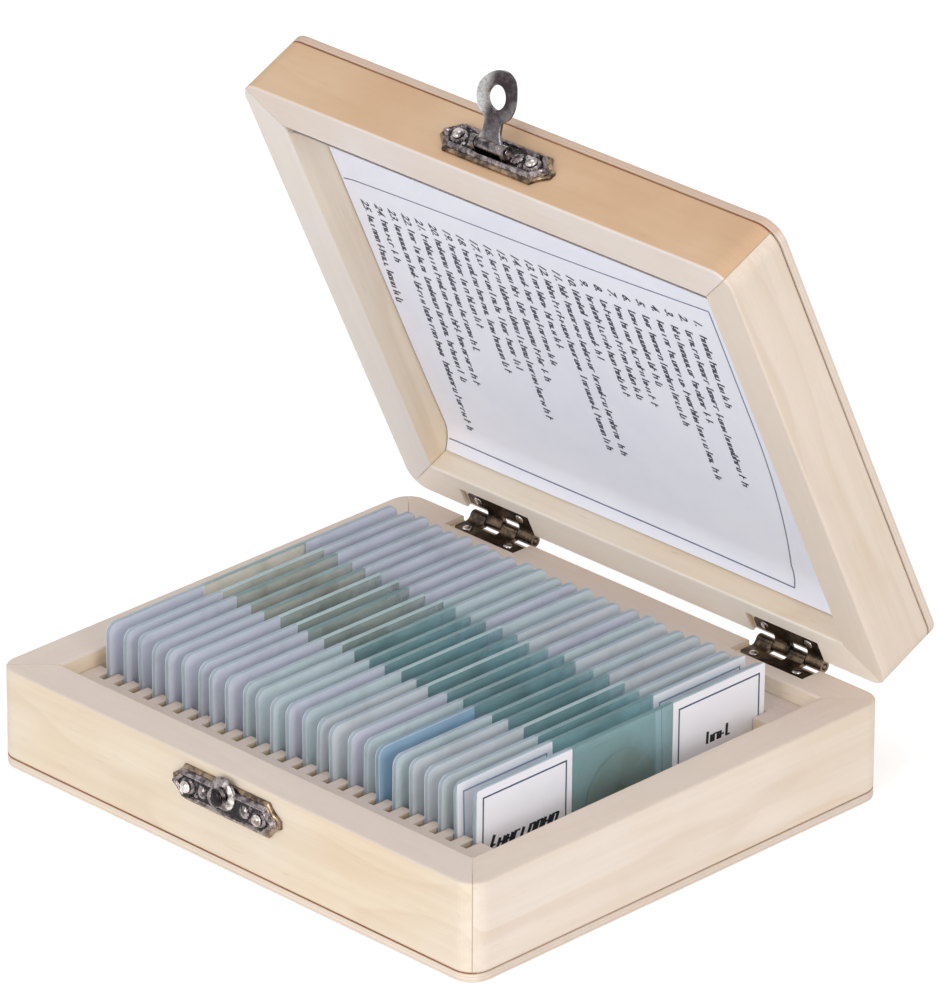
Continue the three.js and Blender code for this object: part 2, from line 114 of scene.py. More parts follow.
def put(tree, value, socket):
    """Feeds a socket with another socket, a colour code or a plain value."""
    if isinstance(value, bpy.types.NodeSocket):
        tree.links.new(value, socket)
    else:
        socket.default_value = colour(value) if isinstance(value, str) else value


def node(tree, kind, inputs=None, **settings):
    made = configured(tree.nodes.new(kind), **settings)
    for key, value in (inputs or {}).items():
        put(tree, value, made.inputs[key])
    return made


def maths(tree, operation, a, b=None, c=None):
    values = {i: v for i, v in enumerate((a, b, c)) if v is not None}
    return node(tree, "ShaderNodeMath", values, operation=operation).outputs[0]


def stretch(tree, value, low, high, to_low=0.0, to_high=1.0, smooth=True):
    """Carries a value's range over to another, easing at both ends if smooth."""
    ends = {"From Min": low, "From Max": high, "To Min": to_low, "To Max": to_high}
    kind = "SMOOTHSTEP" if smooth else "LINEAR"
    made = node(tree, "ShaderNodeMapRange", {"Value": value, **ends}, interpolation_type=kind)
    return made.outputs["Result"]


def mix(tree, factor, a, b):
    return node(tree, "ShaderNodeMix", {0: factor, 6: a, 7: b}, data_type="RGBA").outputs[2]


def marked(tree, base, tone, mask, share):
    """A base colour, taken part of the way to a tone where a mask is high."""
    return mix(tree, maths(tree, "MULTIPLY", mask, share), base, tone)


def noise(tree, place, scale, detail, roughness=0.5, distortion=0.0):
    sizes = {"Scale": scale, "Detail": detail, "Roughness": roughness, "Distortion": distortion}
    return node(tree, "ShaderNodeTexNoise", {"Vector": place, **sizes}).outputs["Fac"]


def sized_noise(tree, given, size, detail, roughness=0.5, distortion=0.0):
    """Noise whose clouds are as wide as one of a group's named sizes."""
    scale = maths(tree, "DIVIDE", 1.0, given[size])
    return noise(tree, given["Vector"], scale, detail, roughness, distortion)


def mapped(tree, place, **move):
    moves = {key.title(): value for key, value in move.items()}
    return node(tree, "ShaderNodeMapping", {"Vector": place, **moves}).outputs[0]


def off_level(tree, height, level):
    """How far a height is above or below a level."""
    return maths(tree, "ABSOLUTE", maths(tree, "SUBTRACT", height, level))


def label_of(key):
    return key.replace("_", " ").title().replace("Ior", "IOR")


def effect(name, **sizes):
    """An empty node group with a Vector and named sizes to take, and what it is given."""
    tree = bpy.data.node_groups.new(name, "ShaderNodeTree")
    tree.interface.new_socket(name="Vector", in_out="INPUT", socket_type="NodeSocketVector")
    for key, size in sizes.items():
        socket = tree.interface.new_socket(
            name=label_of(key), in_out="INPUT", socket_type="NodeSocketFloat")
        socket.default_value = size
    return tree, tree.nodes.new("NodeGroupInput").outputs


def give_out(tree, **masks):
    """Ends a node group with a named socket for each mask."""
    for key in masks:
        tree.interface.new_socket(
            name=label_of(key), in_out="OUTPUT", socket_type="NodeSocketFloat")
    end = tree.nodes.new("NodeGroupOutput")
    for key, mask in masks.items():
        tree.links.new(mask, end.inputs[label_of(key)])
    return tree


def use(tree, group, **inputs):
    named = {label_of(key): value for key, value in inputs.items()}
    return node(tree, "ShaderNodeGroup", named, node_tree=group).outputs


# ---- effects ----

def wood_grain_effect():
    """Long fibres, faint growth rings and slow drifts of tone, running along X."""
    tree, given = effect("wood_grain", ring_width=4 * MM, waver=0.6)
    place = given["Vector"]
    fibres = noise(tree, mapped(tree, place, scale=(14, 420, 420)), 1.0, 6.0, 0.62)
    sway = noise(tree, mapped(tree, place, scale=(9, 34, 34)), 1.0, 2.0)
    drift = noise(tree, place, 26.0, 3.0, 0.55)
    pores = noise(tree, mapped(tree, place, scale=(160, 2600, 2600)), 1.0, 2.0)
    apart = node(tree, "ShaderNodeSeparateXYZ", {"Vector": place}).outputs
    across = maths(tree, "MULTIPLY_ADD", apart["Z"], 0.35, apart["Y"])
    count = maths(tree, "DIVIDE", across, given["Ring Width"])
    wavering = maths(tree, "MULTIPLY", sway, given["Waver"])
    saw = maths(tree, "FRACT", maths(tree, "MULTIPLY_ADD", wavering, 9.0, count))
    late_wood = maths(tree, "POWER", saw, 3.2)
    rings = maths(tree, "MULTIPLY", late_wood, stretch(tree, saw, 0.9, 1.0, 1.0, 0.0))
    pits = stretch(tree, pores, 0.66, 0.8)
    spread = stretch(tree, fibres, 0.3, 0.72)
    return give_out(tree, fibres=spread, rings=rings, drift=stretch(tree, drift, 0.32, 0.68),
                    pores=pits, relief=maths(tree, "MULTIPLY_ADD", pits, -0.6, spread))


def tarnish_effect():
    """Uneven antiquing on plated metal: dark patches, fine specks and shallow dents."""
    tree, given = effect("tarnish", patch_size=4 * MM, speck_size=0.5 * MM)
    dark = stretch(tree, sized_noise(tree, given, "Patch Size", 4.0, 0.6), 0.36, 0.66)
    fine = stretch(tree, sized_noise(tree, given, "Speck Size", 2.0), 0.42, 0.7)
    return give_out(tree, patches=dark, specks=fine,
                    relief=maths(tree, "MULTIPLY_ADD", fine, 0.35, dark))


def paper_effect():
    """Cloudy formation and short fibres of uncoated paper."""
    tree, given = effect("paper_fibre", cloud_size=12 * MM)
    clouds = sized_noise(tree, given, "Cloud Size", 4.0, 0.6)
    fibres = noise(tree, given["Vector"], 2400.0, 3.0, 0.6)
    return give_out(tree, clouds=stretch(tree, clouds, 0.35, 0.65), fibres=fibres)


def handling_effect():
    """Fingermarks and fine dust on polished glass."""
    tree, given = effect("handling", mark_size=9 * MM)
    smears = sized_noise(tree, given, "Mark Size", 3.0, 0.55, 0.6)
    dust = noise(tree, given["Vector"], 1500.0, 1.0)
    return give_out(tree, smears=stretch(tree, smears, 0.45, 0.75), dust=stretch(tree, dust, 0.72, 0.8))


WOOD_GRAIN = wood_grain_effect()
TARNISH = tarnish_effect()
PAPER_FIBRE = paper_effect()
HANDLING = handling_effect()


# ---- finishes ----

GRAIN_DEPTH = 0.06 * MM
DENT_DEPTH = 0.03 * MM
FIBRE_DEPTH = 0.02 * MM


def new_material(name):
    material = bpy.data.materials.new(name)
    material.use_nodes = True
    tree = material.node_tree
    place = tree.nodes.new("ShaderNodeTexCoord").outputs["Object"]
    return material, tree, tree.nodes["Principled BSDF"], place


def dress(tree, surface, **finish):
    for key, value in finish.items():
        put(tree, value, surface.inputs[label_of(key)])


def relief(tree, surface, height, distance):
    bump = node(tree, "ShaderNodeBump", {"Height": height, "Distance": distance})
    tree.links.new(bump.outputs["Normal"], surface.inputs["Normal"])


def bare_wood(name, tones, in_lid, turn, plank, ring_width, waver, shares):
    """Wood as far as its grain. turn lays the grain along Y, plank picks a piece of tree, and
    shares are how strongly the fibres, rings and pores darken it."""
    material, tree, surface, place = new_material(name)
    if in_lid:
        place = node(tree, "ShaderNodeVectorMath", {0: place, 1: LID_PIVOT},
                     operation="SUBTRACT").outputs[0]
    laid = mapped(tree, place, rotation=(LID_ANGLE if in_lid else 0.0, 0, turn))
    cut_from = mapped(tree, laid, location=[plank * step for step in (0.37, 0.11, 0.071)])
    grain = use(tree, WOOD_GRAIN, vector=cut_from, ring_width=ring_width, waver=waver)
    pale, warm, dark = tones
    tone = mix(tree, grain["Drift"], pale, warm)
    for mark, share in zip(("Fibres", "Rings", "Pores"), shares):
        tone = marked(tree, tone, dark, grain[mark], share)
    dress(tree, surface, specular_ior_level=0.35)
    relief(tree, surface, grain["Relief"], GRAIN_DEPTH)
    axes = node(tree, "ShaderNodeSeparateXYZ", {"Vector": laid}).outputs
    return material, tree, surface, grain, tone, axes


def pine(name, tones, turn=0.0, in_lid=False, plank=0, rim_at=None, rim=None, seam_at=None,
         stained=0.5):
    """Sanded pine. rim_at is the height of the rim, where the rim tone is painted as painted light
    for how the rims are lit, and seam_at the height of a glued seam that has stained the
    wood beside it."""
    material, tree, surface, grain, tone, axes = bare_wood(
        name, tones, in_lid, turn, plank, ring_width=5.8 * MM, waver=0.55, shares=(0.16, 0.2, 0.25))
    # Painted light: a band at the rim's height is taken toward the rim tone, standing in for how the
    # rims are lit.
    if rim_at is not None:
        painted_rim_light = stretch(tree, off_level(tree, axes["Z"], rim_at), 0.12 * MM, 0.5 * MM, 1.0, 0.0)
        cloudy = maths(tree, "MULTIPLY_ADD", grain["Drift"], 0.3, 0.62)
        tone = marked(tree, tone, rim, painted_rim_light, cloudy)
    if seam_at is not None:
        off_seam = off_level(tree, axes["Z"], seam_at)
        tone = mix(tree, stretch(tree, off_seam, 0.2 * MM, 0.7 * MM, stained, 0.0), tone, "#b98767")
    rough = stretch(tree, grain["Fibres"], 0.0, 1.0, 0.56, 0.7, smooth=False)
    dress(tree, surface, base_color=tone, roughness=rough)
    return material


def thin_board(name, core_tone, end_tone, low, high, in_lid=False):
    """Three-ply board: a pale face either side of a core that shows at its edge and ends."""
    material, tree, surface, _, tone, axes = bare_wood(
        name, PLAIN_PINE, in_lid, 0.0, 0, ring_width=9 * MM, waver=0.9, shares=(0.2, 0.24))
    along = maths(tree, "ABSOLUTE", axes["X"])
    at_end = stretch(tree, along, HALF_BOX.x - END_BAND, HALF_BOX.x - 0.3 * END_BAND)
    middle, half = (low + high) / 2, (high - low) / 2
    from_core = off_level(tree, axes["Z"], middle)
    core = stretch(tree, from_core, half * 0.72, half * 0.94, 1.0, 0.0)
    glue = stretch(tree, off_level(tree, from_core, half * 0.36), 0.0, half * 0.12, 1.0, 0.0)
    laid = marked(tree, tone, mix(tree, at_end, core_tone, end_tone), core, 0.75)
    lined = marked(tree, laid, "#9b7158", glue, 0.3)
    dress(tree, surface, base_color=lined, roughness=0.64)
    return material


def antiqued(name, bright, dark, smooth, worn, patch, painted_highlight_left=None):
    """Tarnished plated metal. If told, its left part is painted light as a painted highlight and the
    rest painted shade.
    """
    material, tree, surface, place = new_material(name)
    marks = use(tree, TARNISH, vector=place, patch_size=patch, speck_size=0.5 * MM)
    darkened = marks["Patches"]
    # Painted light: the bright tone shows left of the middle as a painted highlight, the dark tone to
    # the right as painted shade, with only a little tarnish left in it.
    if painted_highlight_left is not None:
        across = node(tree, "ShaderNodeSeparateXYZ", {"Vector": place}).outputs["X"]
        painted_shade_side = stretch(tree, across, -painted_highlight_left, -painted_highlight_left * 0.3)
        darkened = maths(tree, "MULTIPLY_ADD", painted_shade_side, 0.75, maths(tree, "MULTIPLY", darkened, 0.25))
    toned = mix(tree, darkened, bright, dark)
    specked = marked(tree, toned, dark, marks["Specks"], 0.35)
    rough = stretch(tree, marks["Patches"], 0.0, 1.0, smooth, worn, smooth=False)
    dress(tree, surface, base_color=specked, roughness=rough, metallic=1.0, coat_weight=0.35,
          coat_roughness=0.12)
    relief(tree, surface, marks["Relief"], DENT_DEPTH)
    return material


def paper(name, pale, shade):
    material, tree, surface, place = new_material(name)
    fibre = use(tree, PAPER_FIBRE, vector=place, cloud_size=12 * MM)
    clouded = marked(tree, pale, shade, fibre["Clouds"], 0.35)
    dress(tree, surface, base_color=clouded, roughness=0.72, specular_ior_level=0.3)
    relief(tree, surface, fibre["Fibres"], FIBRE_DEPTH)
    return material


def ink(name, tone, faded):
    material, tree, surface, place = new_material(name)
    fibre = use(tree, PAPER_FIBRE, vector=place, cloud_size=2 * MM)
    dress(tree, surface, base_color=marked(tree, tone, faded, fibre["Clouds"], 0.3), roughness=0.6)
    return material


def polished_glass(name, tint, rough, clear, smeared=0.4):
    material, tree, surface, place = new_material(name)
    marks = use(tree, HANDLING, vector=place, mark_size=9 * MM)
    deeper = [0.74 * channel for channel in tint]
    clouded = marked(tree, (*tint, 1), (*deeper, 1), marks["Smears"], smeared)
    dulled = stretch(tree, marks["Smears"], 0.0, 1.0, rough, rough + 0.05, smooth=False)
    dusty = maths(tree, "MULTIPLY_ADD", marks["Dust"], 0.15, dulled)
    dress(tree, surface, base_color=clouded, roughness=dusty, transmission_weight=clear, ior=1.5)
    return material


def stained_section(name, tone, deep):
    material, tree, surface, place = new_material(name)
    marks = use(tree, HANDLING, vector=place, mark_size=1.6 * MM)
    dress(tree, surface, base_color=mix(tree, marks["Smears"], tone, deep), roughness=0.5)
    return material


# ---- mesh helpers ----

def soften(piece, angle):
    """Shades a mesh smooth except across edges sharper than angle, in degrees."""
    piece.data.polygons.foreach_set("use_smooth", [True] * len(piece.data.polygons))
    piece.data.set_sharp_from_angle(angle=math.radians(angle))


def mesh_object(name, parts, materials, angle=None):
    """One mesh from (vertices, faces, material index or indices) parts, each in its place."""
    vertices, faces, kinds = [], [], []
    for part_vertices, part_faces, kind in parts:
        start = len(vertices)
        vertices += part_vertices
        faces += [[start + i for i in face] for face in part_faces]
        kinds += kind if isinstance(kind, list) else [kind] * len(part_faces)
    mesh = bpy.data.meshes.new(name)
    mesh.from_pydata(vertices, [], faces)
    mesh.validate()
    work = bmesh.new()
    work.from_mesh(mesh)
    bmesh.ops.recalc_face_normals(work, faces=work.faces)
    work.to_mesh(mesh)
    work.free()
    mesh.polygons.foreach_set("material_index", kinds)
    for material in materials:
        mesh.materials.append(material)
    made = new_object(name, mesh)
    if angle is not None:
        soften(made, angle)
    return made


def place_piece(piece, body, slot_name, *nodes):
    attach(piece, body)
    if nodes:
        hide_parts(*nodes)


def finish_cad(name, material, angle, bevel=None):
    piece = frame["nodes"][name]
    piece.data.materials.clear()
    piece.data.materials.append(material)
    if bevel:
        configured(piece.modifiers.new("eased_edges", "BEVEL"), width=bevel, segments=2,
                   limit_method="ANGLE", angle_limit=math.radians(38), use_clamp_overlap=True)
    soften(piece, angle)


def smooth_step(low, high, value):
    share = min(1.0, max(0.0, (value - low) / (high - low)))
    return share * share * (3 - 2 * share)


def dome(off_centre, radius):
    """The height of a round dome of height 1, at a distance from its middle."""
    return math.sqrt(max(0.0, 1 - (off_centre / radius)**2))


def rounded_outline(half_x, half_y, radius, steps):
    points = []
    for quarter, (side_x, side_y) in enumerate(CORNERS):
        for i in range(steps + 1):
            angle = math.radians(90 * (quarter + i / steps))
            points.append((side_x * (half_x - radius) + radius * math.cos(angle),
                           side_y * (half_y - radius) + radius * math.sin(angle)))
    return points


def circle(radius, steps):
    turns = [2 * math.pi * i / steps for i in range(steps)]
    return [(radius * math.cos(turn), radius * math.sin(turn)) for turn in turns]


def stack(rings):
    """A closed solid through rings of as many points each, with a flat face at either end."""
    count = len(rings[0])
    last = count * (len(rings) - 1)
    faces = [list(range(count))[::-1], [last + i for i in range(count)]]
    for start in range(0, last, count):
        for i in range(count):
            a, b = start + i, start + (i + 1) % count
            faces.append([a, b, b + count, a + count])
    return [point for ring in rings for point in ring], faces


def slab(outline, low, high):
    return stack([[(x, y, z) for x, y in outline] for z in (low, high)])


def grid_rim(columns, rows):
    """The indices round the edge of a grid of points that is laid out row by row."""
    width = columns + 1
    there = list(range(columns)) + [r * width + columns for r in range(rows)]
    return there + [rows * width + columns - c for c in range(columns)] + [
        (rows - r) * width for r in range(rows)]


def two_sided(columns, rows):
    """The faces of a sheet: a grid of points, its other side's grid, and the edge between."""
    width = columns + 1
    other = width * (rows + 1)
    faces = []
    for r in range(rows):
        for c in range(columns):
            a = r * width + c
            square = [a, a + 1, a + 1 + width, a + width]
            faces += [square, [other + i for i in square[::-1]]]
    rim = grid_rim(columns, rows)
    return faces + [[a, b, b + other, a + other] for a, b in zip(rim, rim[1:] + rim[:1])]


def turned(profile, steps=36, petals=(0, 0.0, 0, (0, 1))):
    """A shape turned about Z from (radius, height) points in millimetres. petals are how many
    shallow petals it has, how deep, the radius they begin beyond and the radii they fade between.
    """
    petal_count, depth, beyond, fade = petals
    vertices, faces = [(0, 0, profile[0][1] * MM)], []
    for radius, height in profile[1:-1]:
        for i, (x, y) in enumerate(circle(radius * MM, steps)):
            wave = depth * math.cos(petal_count * 2 * math.pi * i / steps)
            lift = wave * smooth_step(*fade, radius) if radius > beyond else 0
            vertices.append((x, y, (height + lift) * MM))
    vertices.append((0, 0, profile[-1][1] * MM))
    last = len(vertices) - 1
    for ring in range(len(profile) - 3):
        for i in range(steps):
            a, b = 1 + ring * steps + i, 1 + ring * steps + (i + 1) % steps
            faces.append([a, b, b + steps, a + steps])
    for i in range(steps):
        j = (i + 1) % steps
        faces += [[0, 1 + j, 1 + i], [last, last - steps + i, last - steps + j]]
    return vertices, faces


# ---- camera, light and floor ----

CAMERA_AT = Vector((1.111373, -1.102806, 0.799468))
CAMERA_BACK = Vector((0.63927, -0.63884, 0.42803))
CAMERA_RIGHT = Vector((0.70568, 0.70852, 0.00355))
CAMERA_LENS = 335.56
AROUND_STRENGTH = 0.62
FLOOR_REACH = 3.0
FLOOR_GLOW = 0.42
BOX_MIDDLE = (0, 0, 0.04)


def set_camera():
    back = CAMERA_BACK.normalized()
    above = back.cross(CAMERA_RIGHT.normalized()).normalized()
    turn = Matrix((above.cross(back), above, back)).transposed()
    camera = new_object("camera", bpy.data.cameras.new("camera"))
    configured(camera, location=CAMERA_AT, rotation_mode="QUATERNION",
               rotation_quaternion=turn.to_quaternion())
    configured(camera.data, sensor_width=36, lens=CAMERA_LENS, clip_start=0.1, clip_end=20)
    bpy.context.scene.camera = camera


def area_light(name, place, aim, size, power, tone):
    lamp = new_object(name, bpy.data.lights.new(name, "AREA"))
    configured(lamp.data, shape="DISK", size=size, energy=power, color=tone)
    turn = (Vector(aim) - Vector(place)).to_track_quat("-Z", "Y")
    configured(lamp, location=place, rotation_mode="QUATERNION", rotation_quaternion=turn)


def seen_rays(tree):
    """1 for the camera's rays, and for those that reach it off metal or through glass."""
    path = tree.nodes.new("ShaderNodeLightPath").outputs
    seen = maths(tree, "MAXIMUM", path["Is Camera Ray"], path["Is Glossy Ray"])
    return maths(tree, "MAXIMUM", seen, path["Is Transmission Ray"])


def set_studio():
    world = bpy.data.worlds.new("studio")
    bpy.context.scene.world = world
    world.use_nodes = True
    tree = world.node_tree
    plain = tree.nodes["Background"]
    plain.inputs["Color"].default_value = (0.97, 0.98, 1.0, 1)
    plain.inputs["Strength"].default_value = AROUND_STRENGTH
    white = node(tree, "ShaderNodeBackground", {"Color": (1, 1, 1, 1), "Strength": 1.0})
    blend = node(tree, "ShaderNodeMixShader",
                 {0: seen_rays(tree), 1: plain.outputs[0], 2: white.outputs[0]})
    tree.links.new(blend.outputs[0], tree.nodes["World Output"].inputs["Surface"])
    area_light("front_softbox", (0.22, -1.2, 0.38), BOX_MIDDLE, 0.7, 4.9, (1.0, 0.98, 0.95))
    area_light("side_softbox", (1.2, -0.25, 0.45), BOX_MIDDLE, 0.7, 4.4, (1.0, 0.98, 0.96))
    area_light("top_softbox", (0.1, -0.1, 1.3), (0, 0.02, 0.03), 0.8, 1.8, (0.97, 0.98, 1.0))

    material, tree, surface, _ = new_material("studio_floor")
    dress(tree, surface, base_color=(0.86, 0.86, 0.86, 1), roughness=0.9, specular_ior_level=0.1)
    glow = node(tree, "ShaderNodeEmission", {"Color": (1, 1, 1, 1)})
    tree.links.new(maths(tree, "MULTIPLY", seen_rays(tree), FLOOR_GLOW), glow.inputs["Strength"])
    both = node(tree, "ShaderNodeAddShader", {0: surface.outputs[0], 1: glow.outputs[0]})
    tree.links.new(both.outputs[0], tree.nodes["Material Output"].inputs["Surface"])
    corners = [(x * FLOOR_REACH, y * FLOOR_REACH, 0) for x, y in CORNERS]
    floor = mesh_object("floor", [(corners, [[0, 1, 2, 3]], 0)], [material])
    floor.location.z = cad_low.z - 0.05 * MM


# ---- wooden box ----

BROWN = "#c9a683"
PLAIN_PINE = ("#f0e4d3", "#ecdac0", BROWN)
RAIL_PINE = ("#e2d2bd", "#d8c2a6", BROWN)
# Painted light: the rails' up-facing rims take a cooler, greyer tone for the light from above.
RAIL_RIM_PAINTED_LIGHT = "#d9cbc2"
TONES = {
    "tray_right": ("#f0e4d8", "#ecdccb", BROWN),
    # Painted shade: the lid's front wall, facing up, is toned darker and warmer for the shade it lies
    # in.
    "lid_front": ("#dcbd9c", "#d1ab88", BROWN),
    "lid_right": ("#e9dacb", "#e4d1bd", BROWN),
}
# Rim tones are painted light: the up-facing tray rims greyer for the cool light from above, the lid's
# rims toned for how they are lit, its back rim painted lighter against the shade it lies in.
RIM_PAINTED_LIGHT = {
    "tray": {"front": "#dfd0c6", "back": "#dfd0c6", "left": "#dfd0c6", "right": "#dfcdbf"},
    "lid": {"front": "#eee7e3", "back": "#fbf3ea", "left": "#eee7e3", "right": "#e4d8ca"},
}
PLY_CORES = {"tray": ("#eee0d2", "#dfd0c5"), "lid": ("#cdb1a0", "#e6d7cb")}
WOOD_ANGLE = 32

# For each body: its board, how its pieces are measured, the height its looks are laid from,
# which end of a (low, high) pair faces the other body, and its first plank.
WOODWORK = {
    "tray": ("bottom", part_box, 0.0, 1, 1),
    "lid": ("top", shut_box, LID_PIVOT.z, 0, 5),
}


def dress_wood():
    for body, (board, box, base, facing, first) in WOODWORK.items():
        in_lid = body == "lid"
        rim_at = box(f"{body}_front_wall")[facing].z - base
        low, high = (corner.z - base for corner in box(f"{body}_{board}_board"))
        for plank, (side, rim) in enumerate(RIM_PAINTED_LIGHT[body].items(), first):
            lengthways = side in ("front", "back")
            wood = pine(f"{body}_{side}_pine", TONES.get(f"{body}_{side}", PLAIN_PINE),
                        0.0 if lengthways else math.pi / 2, in_lid, plank, rim_at, rim,
                        (low, high)[facing], 0.5 if lengthways else 0.25)
            finish_cad(f"{body}_{side}_wall", wood, WOOD_ANGLE)
        ply = thin_board(f"{board}_ply", *PLY_CORES[body], low, high, in_lid)
        finish_cad(f"{body}_{board}_board", ply, WOOD_ANGLE)
    for plank, side in enumerate(("front", "back"), 11):
        rail_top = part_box(f"{side}_slot_rail")[1].z
        wood = pine(f"{side}_rail_pine", RAIL_PINE, 0.0, False, plank, rail_top, RAIL_RIM_PAINTED_LIGHT)
        finish_cad(f"{side}_slot_rail", wood, WOOD_ANGLE)


# ---- glue lines ----

GLUES = {
    "mitre": ("#e0ccb2", "#d4bc9e", "#b8966f"),
    "seam": ("#bb9478", "#a5775a", "#875a41"),
    "end_seam": ("#cfbcab", "#bfa995", "#a48b77"),
}
MITRE, SEAM, END_SEAM = range(3)
GLUE_INSET = 0.02 * MM
GLUE_SKIN = 0.015 * MM
SEAM_BACK = 0.2 * MM
MITRE_GLUE_WIDTH = 0.09 * MM


def mitre_glue(side_x, side_y, low, high):
    """The glue in one mitre, from the inside corner to just short of the rounded one."""
    along = Vector((1, 1)).normalized()
    across = Vector((-along.y, along.x)) * MITRE_GLUE_WIDTH / 2
    cut_back = BOX_CORNER * (1 - math.cos(math.pi / 4))
    inner = HALF_INSIDE + along * GLUE_INSET
    outer = HALF_BOX - Vector((cut_back, cut_back)) - along * GLUE_INSET
    corners = [inner + across, outer + across, outer - across, inner - across]
    return slab([(x * side_x, y * side_y) for x, y in corners], low + GLUE_INSET, high - GLUE_INSET)


def seam_glue(low, high):
    """The glue between the walls and a thin board, and its finish where it shows."""
    rim = rounded_outline(HALF_BOX.x - GLUE_INSET, HALF_BOX.y - GLUE_INSET, BOX_CORNER - GLUE_INSET, 8)
    hole = rounded_outline(HALF_INSIDE.x + SEAM_BACK, HALF_INSIDE.y + SEAM_BACK, SEAM_BACK / 2, 8)
    count = len(rim)
    levels = [(rim, low), (rim, high), (hole, high), (hole, low)]
    vertices = [(x, y, z) for ring, z in levels for x, y in ring]
    faces, kinds = [], []
    for ring in range(4):
        a, b = ring * count, (ring + 1) % 4 * count
        for i in range(count):
            j = (i + 1) % count
            faces.append([a + i, a + j, b + j, b + i])
            at_end = abs(rim[i][0] + rim[j][0]) / 2 > HALF_BOX.x - END_BAND
            kinds.append(END_SEAM if at_end else SEAM)
    return vertices, faces, kinds


def make_glue_lines():
    """The dried glue that shows as a thin line in each mitre and around each thin board."""
    for plank, (body, (board, box, _, facing, _)) in enumerate(WOODWORK.items(), 21):
        in_lid = body == "lid"
        low, high = (corner.z for corner in box(f"{body}_front_wall"))
        seam = box(f"{body}_{board}_board")[facing].z
        gap = (high, seam) if in_lid else (seam, low)
        finishes = [pine(f"{body}_{joint}_glue", tones, 0.0, in_lid, plank)
                    for joint, tones in GLUES.items()]
        parts = [(*mitre_glue(x, y, low, high), MITRE) for x, y in CORNERS]
        parts.append(seam_glue(gap[0] + GLUE_SKIN, gap[1] - GLUE_SKIN))
        lines = mesh_object(f"{body}_glue_lines", parts, finishes, 40)
        if in_lid:
            lines.data.transform(OPENED)
        place_piece(lines, body, "pine")


# ---- clasp and hinges, shaped in millimetres ----

PLATE_HALF = 14.3
PLATE_RISE = 3.6
PLATE_SHOULDER = 11.3
PLATE_TIP = 0.8
PLATE_PULL = (PLATE_SHOULDER + 0.6, 0.62 * PLATE_RISE)
PLATE_TOP = 1.8
PLATE_STANDS_OUT = 0.1 * MM
HEM = 0.42
HEM_ROUND, HEM_WIDTH = 0.28, 0.3
LACE, LACE_FROM, LACE_WAVES = 0.16, (0.15, 0.4), 1.9
BAND_FROM = (0.72, 1.05)
FIELD_FROM = (1.35, 1.75)
FIELD_DEPTH = 0.42
NAIL_AT = 9.5
NAIL_SEAT, SEAT_EDGE, SEAT_SUNK = 1.75, 0.25, 0.05
RING_DEPTH, RING_HALF, RING_OUT = 0.14, 0.35, 0.3
BOSS_AT, BOSS_HEIGHT, BOSS_RADIUS = 5.6, 0.55, 1.05
BEADS_AT, BEAD_HEIGHT, BEAD_RADIUS = (7.3, 1.25), 0.3, 0.45
FLANGE_WIDTH = 0.8
SUNK_BEYOND, SUNK_BELOW = 1.45, 1.45
NICKEL, RECESS, FLANGE, PAINTED_HIGHLIGHT = range(4)

KNOB_FOOT = 3.4
KNOB_PROFILE = [(0, 1.2), (KNOB_FOOT, 1.2), (KNOB_FOOT, 1.42), (3.22, 1.66), (2.9, 1.9), (2.5, 2.08),
                (2.1, 2.2), (1.62, 2.26), (1.52, 2.5), (1.52, 2.95), (1.7, 3.1), (1.88, 3.3),
                (1.9, 3.5), (1.8, 3.75), (1.5, 3.98), (1.0, 4.12), (0.5, 4.18), (0, 4.2)]
KNOB_PETALS = (8, 0.025, 2, (3.2, 2.5))
# The height above which the knob's head, all but its left edge, is painted dark as painted shade.
KNOB_PAINTED_SHADE_FROM = 3.2
# Where the knob's shoulder is painted as a painted highlight: its radii, its turns in degrees and the
# height it begins at.
PAINTED_HIGHLIGHT_RADII, PAINTED_HIGHLIGHT_TURNS, PAINTED_HIGHLIGHT_FROM = (2.2, 3.2), (-50, 78), 1.5

TONGUE_LENGTH = 14.3
TONGUE_THICK = 0.8
TONGUE_HEAD = 5.0
TONGUE_CROWN = 0.42
NECK_HALF, NECK_FLARE, FLARE_LENGTH = 2.2, 1.0, 3.2
HEAD_FROM = (3.6, 6.0)
EDGE_WORN, EDGE_SHARE = 0.16, 0.1
LIP_FROM, LIP_DEPTH = 10.6, 0.75
EYE_AT = 9.3
EYE_RADIUS = 2.35
BARREL = (1.15, 3.2)
PIN = (0.5, 4.5)
EARS = ((3.35, 4.45), (-4.45, -3.35))
EAR_MIDDLE, EAR_RADIUS, EAR_FOOT = (-0.8, 3.1), 1.15, 1.2
NAIL_LENGTH, NAIL_SHANK = 5.0, 0.45
CLASP_NAIL = (1.25, 0.9)
HINGE_NAIL = (1.0, 0.4)

